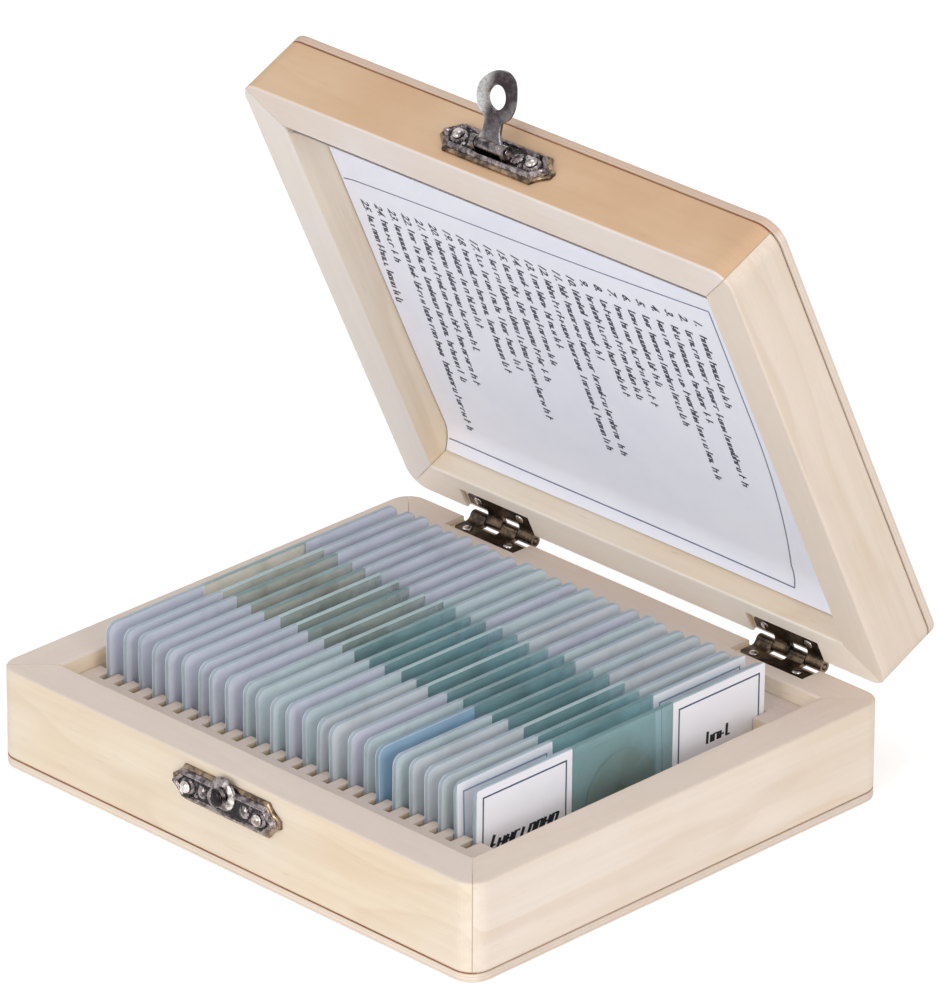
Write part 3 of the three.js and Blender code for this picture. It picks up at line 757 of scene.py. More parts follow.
# Bright and dark tones, roughness where smooth and where worn, and the size of a patch. The
# last number, where there is one, is how far left of the middle the metal is painted light,
# as a painted highlight, with painted shade to its right.
METALS = {
    "clasp_nickel": ("#a49999", "#40363a", 0.08, 0.22, 1.4 * MM),
    "clasp_recess": ("#2a2324", "#0a0708", 0.16, 0.34, 2 * MM),
    "clasp_flange": ("#a38d76", "#433529", 0.2, 0.38, 2.2 * MM),
    # Painted light: the tongue is painted bright on its left and dark on its right.
    "tongue_nickel": ("#d2cfcd", "#35292e", 0.14, 0.26, 4.2 * MM, 3.6 * MM),
    # Painted highlight: near-white nail heads, a finish used also for the hasp pin and the knob's
    # shoulder.
    "nail_nickel": ("#f2ece8", "#7d706d", 0.07, 0.2, 1.6 * MM),
    "barrel_nickel": ("#9a9292", "#2b2327", 0.12, 0.28, 1.8 * MM),
    # Painted shade: a dimmer copy of the nail finish for the lid clasp's nails, as they are less lit.
    "lid_nail_nickel": ("#cfc6c2", "#4b4045", 0.08, 0.22, 1.2 * MM),
    "hinge_bronze": ("#7a6653", "#2b221b", 0.28, 0.5, 4 * MM),
}
METAL = {name: antiqued(name, *finish) for name, finish in METALS.items()}
PRESSED = [METAL["clasp_nickel"], METAL["clasp_recess"], METAL["clasp_flange"]]


def plate_edge():
    """The pressed plate's outline, from its right end over the top to its left end."""
    bend = ((PLATE_HALF, PLATE_TIP), PLATE_PULL, (PLATE_SHOULDER, PLATE_RISE))
    end = []
    for i in range(17):
        t = i / 16
        pulls = (1 - t)**2, 2 * t * (1 - t), t**2
        end.append(tuple(sum(pull * at[axis] for pull, at in zip(pulls, bend)) for axis in (0, 1)))
    right = end + [(PLATE_SHOULDER - PLATE_SHOULDER * i / 30, PLATE_RISE) for i in range(1, 31)]
    return right + [(-x, y) for x, y in right[::-1][1:]]


def pressed_height(u, v, off_edge):
    """How far the plate stands off the wood at a point of its face: hem, lace, band and field."""
    height = HEM + HEM_ROUND * dome(1 - min(off_edge / HEM_WIDTH, 1), 1)
    height += LACE * smooth_step(*LACE_FROM, off_edge) * abs(math.sin(LACE_WAVES * u))
    height += (PLATE_TOP - height) * smooth_step(*BAND_FROM, off_edge)
    field = smooth_step(*FIELD_FROM, off_edge)
    height -= FIELD_DEPTH * field
    for side in (-1, 1):
        off_nail = math.hypot(u - side * NAIL_AT, v)
        seat = smooth_step(NAIL_SEAT, NAIL_SEAT - SEAT_EDGE, off_nail)
        height += (PLATE_TOP - SEAT_SUNK - height) * seat
        off_ring = abs(off_nail - NAIL_SEAT - RING_OUT)
        height -= RING_DEPTH * smooth_step(RING_HALF, 0.0, off_ring) * field
        height += BOSS_HEIGHT * dome(math.hypot(u - side * BOSS_AT, v * 0.8), BOSS_RADIUS)
        for level in (-1, 1):
            off_bead = math.hypot(u - side * BEADS_AT[0], v - level * BEADS_AT[1])
            height += BEAD_HEIGHT * dome(off_bead, BEAD_RADIUS)
    return height


def pressed_plate():
    """A stamped clasp plate lying in the XY plane, its face towards +Z, in metres."""
    edge = plate_edge()
    along, reaches = zip(*edge[::-1])
    ring = edge + [(x, -y) for x, y in edge[::-1]]
    starts = numpy.array(ring)
    run = numpy.array(ring[1:] + ring[:1]) - starts
    run_length = (run**2).sum(1) + 1e-12
    columns, rows = 132, 34
    vertices, depths = [], []
    for c in range(columns + 1):
        u = PLATE_HALF * math.sin(math.pi / 2 * (2 * c / columns - 1))
        reach = float(numpy.interp(u, along, reaches))
        for r in range(rows + 1):
            v = reach * math.sin(math.pi / 2 * (2 * r / rows - 1))
            away = numpy.array((u, v)) - starts
            share = numpy.clip((away * run).sum(1) / run_length, 0, 1)
            off_edge = float(numpy.sqrt(((away - run * share[:, None])**2).sum(1)).min())
            depths.append((off_edge, pressed_height(u, v, off_edge)))
            vertices.append((u * MM, v * MM, depths[-1][1] * MM))
    width = rows + 1
    faces, kinds = [], []
    for c in range(columns):
        for r in range(rows):
            a = c * width + r
            faces.append([a, a + width, a + width + 1, a + 1])
            inward, height = (sum(depths[i][k] for i in faces[-1]) / 4 for k in (0, 1))
            sunk = inward > SUNK_BEYOND and height < SUNK_BELOW
            kinds.append(FLANGE if inward < FLANGE_WIDTH else RECESS if sunk else NICKEL)
    rim = grid_rim(rows, columns)
    start = len(vertices)
    vertices += [(vertices[i][0], vertices[i][1], 0.0) for i in rim]
    count = len(rim)
    for i in range(count):
        j = (i + 1) % count
        faces.append([rim[i], start + i, start + j, rim[j]])
    faces.append([start + i for i in range(count)])
    return vertices, faces, kinds + [FLANGE] * (count + 1)


def knob():
    """The domed catch knob: its head's top painted dark as painted shade, all but its left edge, and a
    crescent of its shoulder painted bright as a painted highlight.
    """
    vertices, faces = turned(KNOB_PROFILE, 48, KNOB_PETALS)
    kinds = []
    for face in faces:
        x, y, z = (sum(vertices[i][axis] for i in face) / len(face) / MM for axis in range(3))
        # A crescent of the shoulder takes the painted highlight; the head's top, right of x -0.4 mm,
        # takes the dark recess tone as painted shade.
        in_ring = PAINTED_HIGHLIGHT_RADII[0] < math.hypot(x, y) < PAINTED_HIGHLIGHT_RADII[1] and z > PAINTED_HIGHLIGHT_FROM
        painted_highlight = in_ring and PAINTED_HIGHLIGHT_TURNS[0] < math.degrees(math.atan2(y, x)) < PAINTED_HIGHLIGHT_TURNS[1]
        dark = z > KNOB_PAINTED_SHADE_FROM and x > -0.4
        kinds.append(RECESS if dark else PAINTED_HIGHLIGHT if painted_highlight else NICKEL)
    return vertices, faces, kinds


def nail_shape(head_radius, head_height):
    """A round-headed nail, its head standing on Z = 0 and its shank below."""
    profile = [(0, -NAIL_LENGTH), (0.25, 0.4 - NAIL_LENGTH), (NAIL_SHANK, 0.9 - NAIL_LENGTH),
               (NAIL_SHANK, 0.0), (head_radius * 0.97, 0.0)]
    for i in range(8):
        angle = math.radians(90 * i / 8)
        profile.append((head_radius * math.cos(angle), 0.04 + (head_height - 0.04) * math.sin(angle)))
    return turned(profile + [(0, head_height)], 28)


def rod_along_x(radius, half):
    """A rod with eased ends, from its radius and half its length."""
    ends = ((-half, 0.88 * radius), (0.12 - half, radius), (half - 0.12, radius), (half, 0.88 * radius))
    return stack([[(x * MM, y, z) for y, z in circle(r * MM, 28)] for x, r in ends])


def ear(x_low, x_high):
    """One upright ear of the hinge on the hasp plate, standing off the plate's face."""
    middle, level = EAR_MIDDLE
    turns = [math.radians(angle) for angle in range(0, 181, 15)]
    points = [(middle - EAR_RADIUS * math.cos(turn), level + EAR_RADIUS * math.sin(turn))
              for turn in turns]
    points = [(middle - EAR_RADIUS, EAR_FOOT), *points, (middle + EAR_RADIUS, EAR_FOOT)]
    return stack([[(x * MM, v * MM, h * MM) for v, h in points] for x in (x_low, x_high)])


def tongue_half_width(t):
    """Half the width of the hasp's tongue, t millimetres below its hinge."""
    in_head = math.sqrt(max(0.0, TONGUE_HEAD**2 - (t - EYE_AT)**2))
    if t >= EYE_AT:
        return in_head
    neck = NECK_HALF + NECK_FLARE * (1 - smooth_step(0.0, FLARE_LENGTH, t))
    return max(neck, neck + (in_head - neck) * smooth_step(*HEAD_FROM, t))


def tongue():
    """The hasp's tongue hanging down -Z from its hinge, crowned, with a lip at the end."""
    rows, columns = 56, 26
    vertices = []
    for face in (0, 1):
        for r in range(rows + 1):
            t = TONGUE_LENGTH * math.sin(math.pi / 2 * r / rows) * 0.999
            half = max(0.05, tongue_half_width(t))
            lip = LIP_DEPTH * smooth_step(LIP_FROM, TONGUE_LENGTH, t)
            for c in range(columns + 1):
                side = math.sin(math.pi / 2 * (2 * c / columns - 1))
                x = half * side
                crown = TONGUE_CROWN * (1 - (x / TONGUE_HEAD)**2)
                worn = EDGE_WORN * max(0.0, 1 - (1 - abs(side)) / EDGE_SHARE)
                front = TONGUE_CROWN - TONGUE_THICK / 2 - crown - lip + worn
                back = TONGUE_THICK / 2 - crown * 0.8 - lip + 0.34 - worn
                vertices.append((x * MM, (back if face else front) * MM, -t * MM))
    return vertices, two_sided(columns, rows)


def cut_eye(piece):
    """Punches the round eye through the tongue."""
    vertices, faces = turned([(0, -3), (EYE_RADIUS, -3), (EYE_RADIUS, 3), (0, 3)], 40)
    moved = [(x, z, y - EYE_AT * MM) for x, y, z in vertices]
    punch = mesh_object("eye_punch", [(moved, faces, 0)], [])
    configured(piece.modifiers.new("eye", "BOOLEAN"), object=punch, operation="DIFFERENCE",
               solver="EXACT")
    bpy.context.view_layer.update()
    shaped = piece.evaluated_get(bpy.context.evaluated_depsgraph_get())
    mesh = bpy.data.meshes.new_from_object(shaped)
    piece.modifiers.clear()
    piece.data = mesh
    spent = punch.data
    bpy.data.objects.remove(punch)
    bpy.data.meshes.remove(spent)


def place_metal(name, parts, finishes, lay, body, slot_name, *nodes, angle=40):
    piece = mesh_object(name, parts, finishes, angle)
    piece.data.transform(lay)
    place_piece(piece, body, slot_name, *nodes)


def facing_front(x, y, z):
    """Lays a shape made facing +Z against a front face, facing -Y with its top up."""
    return Matrix.Translation((x, y, z)) @ Matrix.Rotation(math.pi / 2, 4, "X")


def make_plates():
    plate = pressed_plate()
    low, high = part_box("catch_plate")
    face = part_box("tray_front_wall")[0].y - PLATE_STANDS_OUT
    middle = low.z + PLATE_RISE * MM
    lift = high.z - KNOB_FOOT * MM - middle
    vertices, faces, kinds = knob()
    raised = ([(x, y + lift, z) for x, y, z in vertices], faces, kinds)
    # The knob's painted highlight takes the near-white nail finish.
    place_metal("catch_plate_pressed", [plate, raised], PRESSED + [METAL["nail_nickel"]],
                facing_front(0, face, middle), "tray", "clasp_metal", "catch_plate")
    hasp_middle = shut_box("hasp_plate")[0].z + PLATE_RISE * MM
    ears = [(*ear(*sides), NICKEL) for sides in EARS]
    place_metal("hasp_plate_pressed", [plate] + ears, PRESSED,
                OPENED @ facing_front(0, face, hasp_middle), "lid", "clasp_metal", "hasp_plate")


def make_hasp():
    hang = OPENED @ Matrix.Translation(SHUT @ HASP_PIVOT)
    swung = hang @ Matrix.Rotation(-HASP_ANGLE, 4, "X")
    # The pin takes the near-white nail finish, a painted highlight.
    place_metal("hasp_hinge_pin", [(*rod_along_x(*PIN), 0)], [METAL["nail_nickel"]], hang, "lid",
                "clasp_metal", "hasp_pin", angle=30)
    blade = mesh_object("hasp_tongue", [(*tongue(), 0)], [METAL["tongue_nickel"]])
    cut_eye(blade)
    soften(blade, 42)
    blade.data.transform(swung)
    place_piece(blade, "hasp", "clasp_metal", "hasp")
    place_metal("hasp_barrel", [(*rod_along_x(*BARREL), 0)], [METAL["barrel_nickel"]], swung, "hasp",
                "clasp_metal", angle=30)


def make_nails():
    nails = [name for name in frame["nodes"] if "nail" in name]
    for name in nails:
        in_clasp = "hinge" not in name
        in_lid = "_lid_" in name or "hasp" in name
        head = CLASP_NAIL if in_clasp else HINGE_NAIL
        rise = head[1] * MM
        low, high = shut_box(name) if in_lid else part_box(name)
        centre = (low + high) / 2
        if in_clasp:
            lay = facing_front(centre.x, low.y + rise, centre.z)
        else:
            flip = Matrix.Rotation(math.pi, 4, "X") if in_lid else Matrix.Identity(4)
            seat = low.z + rise if in_lid else high.z - rise
            lay = Matrix.Translation((centre.x, centre.y, seat)) @ flip
        # The lid clasp's nails take the dimmer copy, painted shade; the others take the painted
        # highlight.
        metal = METAL["lid_nail_nickel" if in_clasp and in_lid else "nail_nickel"]
        place_metal(f"{name}_domed", [(*nail_shape(*head), 0)], [metal],
                    OPENED @ lay if in_lid else lay, "lid" if in_lid else "tray", "nail_metal", name)


def dress_hinges():
    for name in frame["nodes"]:
        if "hinge" in name and "nail" not in name:
            finish_cad(name, METAL["hinge_bronze"], 35, 0.08 * MM)


# ---- slides ----

SLIDES = sorted(name for name in frame["nodes"] if name.startswith("slide_"))
SLIDE_LENGTH = 76.2 * MM
SLIDE_HEIGHT = 25.4 * MM
SLIDE_THICKNESS = 1.0 * MM
SLIDE_CORNER = 2.2 * MM
ARRIS = 0.14 * MM
LABEL = 24.6 * MM
LABEL_HEIGHT = 25.1 * MM
LABEL_MARGIN = 0.15 * MM
LABEL_THICKNESS = 0.1 * MM
LABEL_AT = SLIDE_LENGTH / 2 - LABEL_MARGIN - LABEL / 2
LABEL_END = LABEL_AT - LABEL / 2
BORDER_INSET = 1.55 * MM
BORDER_LINE = 0.34 * MM
INK_THICKNESS = 0.02 * MM
SLIP_RADIUS = 9 * MM
SLIDE_SEED, EDGE_SEED = 400, 900
FACING_RIGHT = 2
BLUE_SLIDE = 7
PLAIN_UP_TO = 15
PALE_UP_TO = 20
LILAC_BEGINS = 9
ALL_LILAC_FROM = 18

# Tint, roughness, how clear it is, and how far finger marks cloud it.
GLASS = {
    "slide_glass": ((0.66, 0.91, 0.95), 0.02, 0.76, 0.9),
    "pale_slide_glass": ((0.87, 0.95, 0.92), 0.02, 0.72, 0.9),
    "clear_slide_glass": ((0.95, 0.97, 0.91), 0.02, 0.66, 0.9),
    "cut_edge": ((0.36, 0.53, 0.55), 0.3, 0.5),
    "dark_cut_edge": ((0.22, 0.38, 0.40), 0.3, 0.5),
    "bright_cut_edge": ((0.56, 0.72, 0.74), 0.3, 0.4),
    "blue_backed_edge": ((0.36, 0.54, 0.70), 0.3, 0.5),
    "label_backed_edge": ((0.45, 0.54, 0.62), 0.4, 0.3),
    "ground_arris": ((0.56, 0.64, 0.70), 0.5, 0.3),
    "white_backed_glass": ((0.86, 0.92, 0.96), 0.03, 0.24),
    "aqua_backed_glass": ((0.79, 0.93, 0.96), 0.03, 0.24),
    "lilac_backed_glass": ((0.84, 0.88, 0.99), 0.03, 0.24),
    "blue_backed_glass": ((0.46, 0.70, 0.90), 0.03, 0.3),
    "cover_slip_glass": ((0.80, 0.92, 0.90), 0.02, 0.9),
}
CUT_EDGES = ("cut_edge", "cut_edge", "dark_cut_edge", "dark_cut_edge", "bright_cut_edge")
BACKINGS = ("white_backed_glass", "aqua_backed_glass", "lilac_backed_glass")


def standing(flat):
    """Turns (along, up, out) points into (X out, Y along, Z up), as a slide stands."""
    return [(out, along, up) for along, up, out in flat]


def glass_blank():
    """The cut glass of one slide: clear faces, sawn edges and ground arrises.

    Material indices: 0 clear face, 1 its edge, 2 arris, then face and edge backed by
    the label at the -Y end (3, 4) and at the +Y end (5, 6). The labels end at the points
    7, 8, 23 and 24 of each ring's 32.
    """
    half = SLIDE_THICKNESS / 2

    def ring(inset):
        upper = SLIDE_HEIGHT / 2 - inset
        corners = rounded_outline(SLIDE_LENGTH / 2 - inset, upper, SLIDE_CORNER - inset, 6)
        top = corners[:7] + [(LABEL_END, upper), (-LABEL_END, upper)] + corners[7:21]
        return top + [(-LABEL_END, -upper), (LABEL_END, -upper)] + corners[21:]

    outline, inner = ring(0.0), ring(ARRIS)
    count = len(outline)
    rings = [(inner, -half), (outline, ARRIS - half), (outline, half - ARRIS), (inner, half)]
    vertices, faces = stack([[(x, y, z) for x, y in points] for points, z in rings])
    zones = [(list(range(24, 32)) + list(range(8)), 5), ([7, 8, 23, 24], 0), (list(range(8, 24)), 3)]
    ends = [[start + i for i in zone] for start in (0, 3 * count) for zone, kind in zones]
    kinds = [kind for zone, kind in zones] * 2
    for level in range(3):
        for i in range(count):
            along = (outline[i][0] + outline[(i + 1) % count][0]) / 2
            backed = 4 if along < 0 else 6
            kinds.append(1 if abs(along) < LABEL_END else 2 if level != 1 else backed)
    return standing(vertices), ends + faces[2:], kinds


def stroke(path, width, out):
    """A thin printed line through two (along, up) points, standing just off the paper."""
    (a0, u0), (a1, u1) = path
    run = Vector((a1 - a0, u1 - u0))
    side = Vector((-run.y, run.x)).normalized() * width / 2
    corners = [(a0 + side.x, u0 + side.y), (a1 + side.x, u1 + side.y),
               (a1 - side.x, u1 - side.y), (a0 - side.x, u0 - side.y)]
    return slab(corners, out, out + INK_THICKNESS)


def word_marks(words, tall, chance, slant=0.0):
    """Short upright and level strokes, spaced as printed words, that spell nothing."""
    marks = []
    along = 0.0
    for letters in words:
        for letter in range(letters):
            low = 0.62 * tall
            rise = tall if letter == 0 or chance.random() < 0.12 else low
            wide = tall * chance.choice((0.38, 0.42, 0.46))
            marks.append(((along, 0.0), (along + 0.06 * tall, rise)))
            for level in chance.choice(((0.58,), (0.04,), (0.58,), (0.3,), ())):
                marks.append(((along, level * tall), (along + wide, level * tall)))
            if chance.random() < 0.7:
                marks.append(((along + wide, 0.0), (along + wide + 0.04 * tall, low)))
            along += wide + 0.26 * tall
        along += 0.4 * tall
    return [tuple((a + slant * u, u) for a, u in mark) for mark in marks]


def label_outline(middle, end, outer_corner):
    """A label whose corners at the slide's end follow the glass and whose inner ones are square."""
    half, upper = LABEL / 2, LABEL_HEIGHT / 2
    corners = rounded_outline(half, upper, outer_corner, 5)
    points = corners[18:] + corners[:6] + [(-half, upper), (-half, -upper)]
    return [(middle + end * x, y) for x, y in points]


def label_parts(end, corner, chance):
    """One paper label with its ruled border and a few lines of marks standing for print."""
    middle = end * LABEL_AT
    face = SLIDE_THICKNESS / 2
    top = face + LABEL_THICKNESS
    on_paper = top + 0.005 * MM
    parts = [(*slab(label_outline(middle, end, corner), face + 0.01 * MM, top), 0)]
    inset = LABEL / 2 - BORDER_INSET
    corners = [(a * inset, u * inset) for a, u in CORNERS]
    for (a, u), (b, w) in zip(corners, corners[1:] + corners[:1]):
        grow_a = math.copysign(BORDER_LINE / 2, b - a) if a != b else 0
        grow_u = math.copysign(BORDER_LINE / 2, w - u) if u != w else 0
        path = [(middle + a - grow_a, u - grow_u), (middle + b + grow_a, w + grow_u)]
        parts.append((*stroke(path, BORDER_LINE, on_paper), 1))
    # Height up the label, letter height, letters in each word, slant and ink.
    heading = (-0.7, 2.9, (9,), 0.32, 2) if end < 0 else (0.9, 2.5, (4,), 0.0, 2)
    lines = (heading, (-5.4, 1.7, (3, 5), 0.0, 1), (-8.6, 1.7, (5, 2), 0.0, 1))
    for height, letter_height, words, slant, print_ink in lines:
        tall = letter_height * MM
        marks = word_marks(words, tall, chance, slant)
        start = middle - max(a for mark in marks for a, u in mark) / 2
        for (a0, u0), (a1, u1) in marks:
            path = [(start + a0, height * MM + u0), (start + a1, height * MM + u1)]
            upright = abs(u0 - u1) > 0.3 * tall
            parts.append((*stroke(path, (0.26 if upright else 0.13) * tall, on_paper), print_ink))
    return [(standing(v), f, k) for v, f, k in parts]


def specimen(chance, out):
    """A thin, ragged stained section."""
    size = chance.uniform(1.6, 3.6) * MM
    long_way = chance.uniform(1.0, 1.9)
    waves = [(chance.uniform(0.05, 0.16), chance.uniform(0, 6.28), k) for k in (2, 3, 5, 7)]
    outline = []
    for x, y in circle(1.0, 26):
        angle = math.atan2(y, x)
        reach = size * (1 + sum(h * math.sin(k * angle + p) for h, p, k in waves))
        outline.append((long_way * reach * x, reach * y))
    return slab(outline, out, out + 0.04 * MM)


def mount_parts(chance):
    """The cover slip and the stained section under it, a little off the slide's middle."""
    face = SLIDE_THICKNESS / 2
    across, up = chance.uniform(-1.5, 1.5) * MM, chance.uniform(-1.2, 1.2) * MM
    slip = slab(circle(SLIP_RADIUS, 48), face + 0.07 * MM, face + 0.2 * MM)
    section = specimen(chance, face + 0.015 * MM)
    return [(standing([(x + across, y + up, z) for x, y, z in vertices]), faces, kind)
            for kind, (vertices, faces) in enumerate((slip, section))]


def slide_place(name, facing):
    """Where a slide stands, how it leans and which way it faces, read from its solid."""
    points = [v.co for v in frame["nodes"][name].data.vertices]
    low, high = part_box(name)
    middle_height = (low.z + high.z) / 2
    end = max(p.y for p in points) - 0.1 * MM
    at_end = [p for p in points if p.y > end]
    upper = [p for p in at_end if p.z > middle_height]
    lower = [p for p in at_end if p.z <= middle_height]
    top = sum(upper, Vector()) / len(upper)
    bottom = sum(lower, Vector()) / len(lower)
    lean = math.atan2(top.x - bottom.x, top.z - bottom.z)
    middle = Vector(((top.x + bottom.x) / 2, (low.y + high.y) / 2, middle_height))
    turn = Matrix.Rotation(0 if facing > 0 else math.pi, 4, "Z")
    return Matrix.Translation(middle) @ Matrix.Rotation(lean, 4, "Y") @ turn


def make_slides():
    glass = {name: polished_glass(name, *finish) for name, finish in GLASS.items()}
    label = paper("label_paper", "#f8f8ff", "#eff0fb")
    faint_ink = ink("faint_label_ink", "#93a0bd", "#a9b4cc")
    first_inks = [ink("label_ink", "#3c4a63", "#59667e"), ink("heading_ink", "#0d1320", "#263046")]
    stains = [
        stained_section("pink_section", "#c0668f", "#8e3f6d"),
        stained_section("green_section", "#5f8a4e", "#3d5f3a"),
        stained_section("violet_section", "#6b4f8f", "#43305f"),
    ]
    for number, name in enumerate(SLIDES, 1):
        chance = random.Random(SLIDE_SEED + number)
        if number >= ALL_LILAC_FROM:
            backed = BACKINGS[2]
        else:
            backed = chance.choice(BACKINGS if number >= LILAC_BEGINS else BACKINGS[:2])
        if number <= PLAIN_UP_TO:
            clear = "slide_glass"
        else:
            clear = "pale_slide_glass" if number <= PALE_UP_TO else "clear_slide_glass"
        cut = random.Random(EDGE_SEED + number).choice(CUT_EDGES)
        far_end = (backed, "label_backed_edge")
        near_end = ("blue_backed_glass", "blue_backed_edge") if number == BLUE_SLIDE else far_end
        finishes = [glass[key] for key in (clear, cut, "ground_arris", *far_end, *near_end)]
        blank = mesh_object(f"{name}_glass", [glass_blank()], finishes, 30)
        corner = (0.4 if number <= FACING_RIGHT else 2.05) * MM
        labels = [part for end in (-1, 1) for part in label_parts(end, corner, chance)]
        inks = first_inks if number == 1 else [faint_ink, faint_ink]
        printed = mesh_object(f"{name}_labels", labels, [label] + inks, 30)
        mounted = mesh_object(f"{name}_mount", mount_parts(chance),
                              [glass["cover_slip_glass"], stains[number % 3]], 30)
        place = slide_place(name, 1 if number <= FACING_RIGHT else -1)
        for piece in (blank, printed, mounted):
            piece.data.transform(place)
            place_piece(piece, name, "slide_glass")
        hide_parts(name)


# ---- index sheet ----

SHEET_LOW, SHEET_HIGH = shut_box("index_sheet")
SHEET_LOW.y += 1.5 * MM
SHEET_THICK = 0.14 * MM
SHEET_FLAT = SHEET_HIGH.z - 0.25 * MM
BACK_CURL, BACK_LIFT = 6 * MM, 2.7 * MM
FRONT_CURL, FRONT_LIFT = 4.3 * MM, 6.4 * MM
SIDE_CURL, SIDE_LIFT = 3 * MM, 0.35 * MM
CURL_FROM = SHEET_HIGH.y - BACK_CURL
PAPER_WAVE = 0.22 * MM
WAVES_ACROSS, WAVES_BACK = 62, 48
ROW_INK, RULE_INK = 0, 1
RULE_WIDTH, BACK_RULE_WIDTH = 0.26 * MM, 0.2 * MM
RULE_STEPS = 48
RULE_RIGHT, RULE_BACK = 43 * MM, 44 * MM
RULE_FRONT_LEFT, RULE_FRONT_RIGHT = -26.2 * MM, -30.3 * MM
RULE_INWARD = 5.4 * MM
RULE_OUTWARD = 0.1
RULE_SKEW = 0.4 * MM
LEFT_TRIM = 0.4 * MM
ROW_SEED = 7
FIRST_ROW, LAST_ROW = Vector((37.5, -26.3)) * MM, Vector((-52.0, -21.4)) * MM
ROW_LENGTHS = (24, 49, 34, 50, 37, 25, 32, 31, 32, 24, 53, 52, 25,
               33, 36, 49, 36, 38, 28, 38, 47, 48, 62, 18, 29)
LETTER_HEIGHT = 1.85 * MM
LETTER_STEP, WORD_GAP = 1.26, 0.74
ROW_SPARE, SHORTEST_WORD = 8.4, 2.5
FIRST_LEAN, ADDED_LEAN = 0.03, 0.045
UPRIGHT_WIDTH, LEVEL_WIDTH = 0.42 * MM, 0.28 * MM
FIGURE_HEIGHT = 2.7 * MM
FIGURE_ROOM = 4.4 * MM


def sheet_height(x, y):
    """The height of the sheet's printed face, with its curled edges and slow waves."""
    back = max(0.0, (y - CURL_FROM) / BACK_CURL)
    front = max(0.0, (SHEET_LOW.y + FRONT_CURL - y) / FRONT_CURL)
    left = max(0.0, (SHEET_LOW.x + SIDE_CURL - x) / SIDE_CURL)
    wave = PAPER_WAVE * (1 + math.sin(x * WAVES_ACROSS + 1.0) * math.sin(y * WAVES_BACK + 0.6))
    curl = BACK_LIFT * back**2 + FRONT_LIFT * front**1.5 + SIDE_LIFT * left**2 * (1 - back)
    return SHEET_FLAT + wave * (1 - front) - curl


def curled_sheet():
    columns, rows = 72, 120
    middle, half = (SHEET_LOW.y + SHEET_HIGH.y) / 2, (SHEET_HIGH.y - SHEET_LOW.y) / 2
    vertices = []
    for side in (0, SHEET_THICK):
        for row in range(rows + 1):
            y = middle - half * math.cos(math.pi * row / rows)
            for column in range(columns + 1):
                x = SHEET_LOW.x + (SHEET_HIGH.x - SHEET_LOW.x) * column / columns
                vertices.append((x, y, sheet_height(x, y) + side))
    return vertices, two_sided(columns, rows)


def printed_line(points, width, print_ink):
    """A line laid on the paper, following its curl."""
    vertices, faces = [], []
    for i, (x, y) in enumerate(points):
        before, after = points[max(i - 1, 0)], points[min(i + 1, len(points) - 1)]
        run = Vector((after[0] - before[0], after[1] - before[1])).normalized()
        for side in (-width / 2, width / 2):
            px, py = x - run.y * side, y + run.x * side
            z = sheet_height(px, py)
            vertices += [(px, py, z - 0.01 * MM), (px, py, z - 0.04 * MM)]
    for a in range(0, 4 * (len(points) - 1), 4):
        b = a + 4
        faces += [[a, b, b + 2, a + 2], [a + 1, a + 3, b + 3, b + 1],
                  [a, a + 1, b + 1, b], [a + 2, b + 2, b + 3, a + 3]]
    faces += [[0, 2, 3, 1], [b, b + 1, b + 3, b + 2]]
    return vertices, faces, print_ink


def right_rule(y):
    """Where the right ruled line runs: it bows inward, and out again up the curl."""
    bow = RULE_INWARD * min(1.0, max(0.0, y) / CURL_FROM)**2
    return RULE_RIGHT - bow + RULE_OUTWARD * max(0.0, y - CURL_FROM)


def ruled_lines():
    """Three ruled lines. The sheet was trimmed a little askew, so the left one is cut away."""
    left = SHEET_LOW.x + LEFT_TRIM
    front_rise = RULE_FRONT_RIGHT - RULE_FRONT_LEFT
    back_right = right_rule(RULE_BACK)
    front, side, back = [], [], []
    for i in range(RULE_STEPS + 1):
        share = i / RULE_STEPS
        front.append((left + (RULE_RIGHT - left) * share, RULE_FRONT_LEFT + front_rise * share))
        y = RULE_FRONT_RIGHT + (RULE_BACK - RULE_FRONT_RIGHT) * share
        side.append((right_rule(y), y))
        back.append((left + (back_right - left) * share, RULE_BACK - RULE_SKEW * (1 - share)))
    lines = ((front, RULE_WIDTH), (side, RULE_WIDTH), (back, BACK_RULE_WIDTH))
    return [printed_line(points, width, RULE_INK) for points, width in lines]


def row_words(length, chance):
    """How many letters each word of a row has, and a space of two short marks to end it."""
    words = []
    room = length - ROW_SPARE
    while room > SHORTEST_WORD:
        words.append(min(chance.choice((3, 4, 5, 6, 6, 7, 8)), round(room / LETTER_STEP)))
        room -= LETTER_STEP * words[-1] + WORD_GAP
    return words + [1, 1]


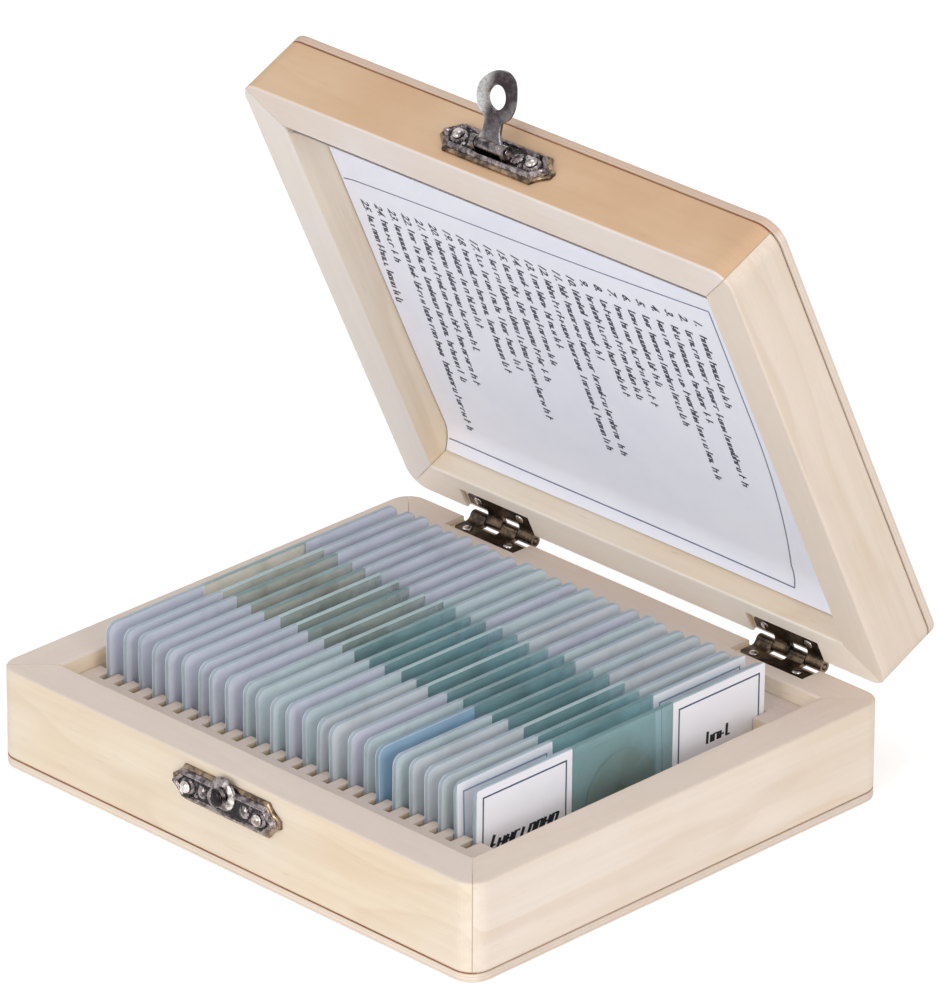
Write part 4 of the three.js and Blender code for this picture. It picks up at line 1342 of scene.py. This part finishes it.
def figure_part(text, base, start):
    """A row's number, laid facing down onto the sheet, reading away from the clasp."""
    figure = configured(bpy.data.curves.new("figure", "FONT"), body=text, size=FIGURE_HEIGHT,
                        shear=0.25, offset=0.07 * MM, extrude=0.012 * MM, resolution_u=2)
    lettering = new_object("figure", figure)
    bpy.context.view_layer.update()
    shape = bpy.data.meshes.new_from_object(lettering.evaluated_get(
        bpy.context.evaluated_depsgraph_get()))
    face_down = Matrix(((0, 1, 0, 0), (1, 0, 0, 0), (0, 0, -1, 0), (0, 0, 0, 1)))
    height = sheet_height(base, start) - 0.02 * MM
    shape.transform(Matrix.Translation((base, start, height)) @ face_down)
    part = [tuple(v.co) for v in shape.vertices], [list(p.vertices) for p in shape.polygons], ROW_INK
    bpy.data.objects.remove(lettering)
    bpy.data.meshes.remove(shape)
    bpy.data.curves.remove(figure)
    return part


def row_parts(row, length, chance):
    """One row of the index: the marks that stand for a name, and the row's number."""
    share = row / (len(ROW_LENGTHS) - 1)
    base, start = FIRST_ROW + (LAST_ROW - FIRST_ROW) * share
    lean = FIRST_LEAN + ADDED_LEAN * share
    parts = []
    for mark in word_marks(row_words(length, chance), LETTER_HEIGHT, chance):
        foot, head = ((base + u - lean * a, start + FIGURE_ROOM + a) for a, u in mark)
        middle = ((foot[0] + head[0]) / 2, (foot[1] + head[1]) / 2)
        upright = mark[0][1] != mark[1][1]
        width = UPRIGHT_WIDTH if upright else LEVEL_WIDTH
        parts.append(printed_line([foot, middle, head], width, ROW_INK))
    return parts + [figure_part(f"{row + 1}.", base, start)]


def make_index_sheet():
    sheet = mesh_object("index_sheet_paper", [(*curled_sheet(), 0)],
                        [paper("index_sheet_paper", "#f4f5ff", "#ebedfc")], 40)
    chance = random.Random(ROW_SEED)
    parts = ruled_lines()
    for row, length in enumerate(ROW_LENGTHS):
        parts += row_parts(row, length, chance)
    inks = [ink("index_ink", "#3f414e", "#686b7e"), ink("ruling_ink", "#5d6280", "#7d84a0")]
    printing = mesh_object("index_sheet_print", parts, inks)
    for piece in (sheet, printing):
        piece.data.transform(OPENED)
        place_piece(piece, "lid", "index_paper")
    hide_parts("index_sheet")


set_camera()
set_studio()
dress_wood()
make_glue_lines()
make_plates()
make_hasp()
make_nails()
dress_hinges()
make_slides()
make_index_sheet()
bpy.context.scene.view_settings.view_transform = "Standard"
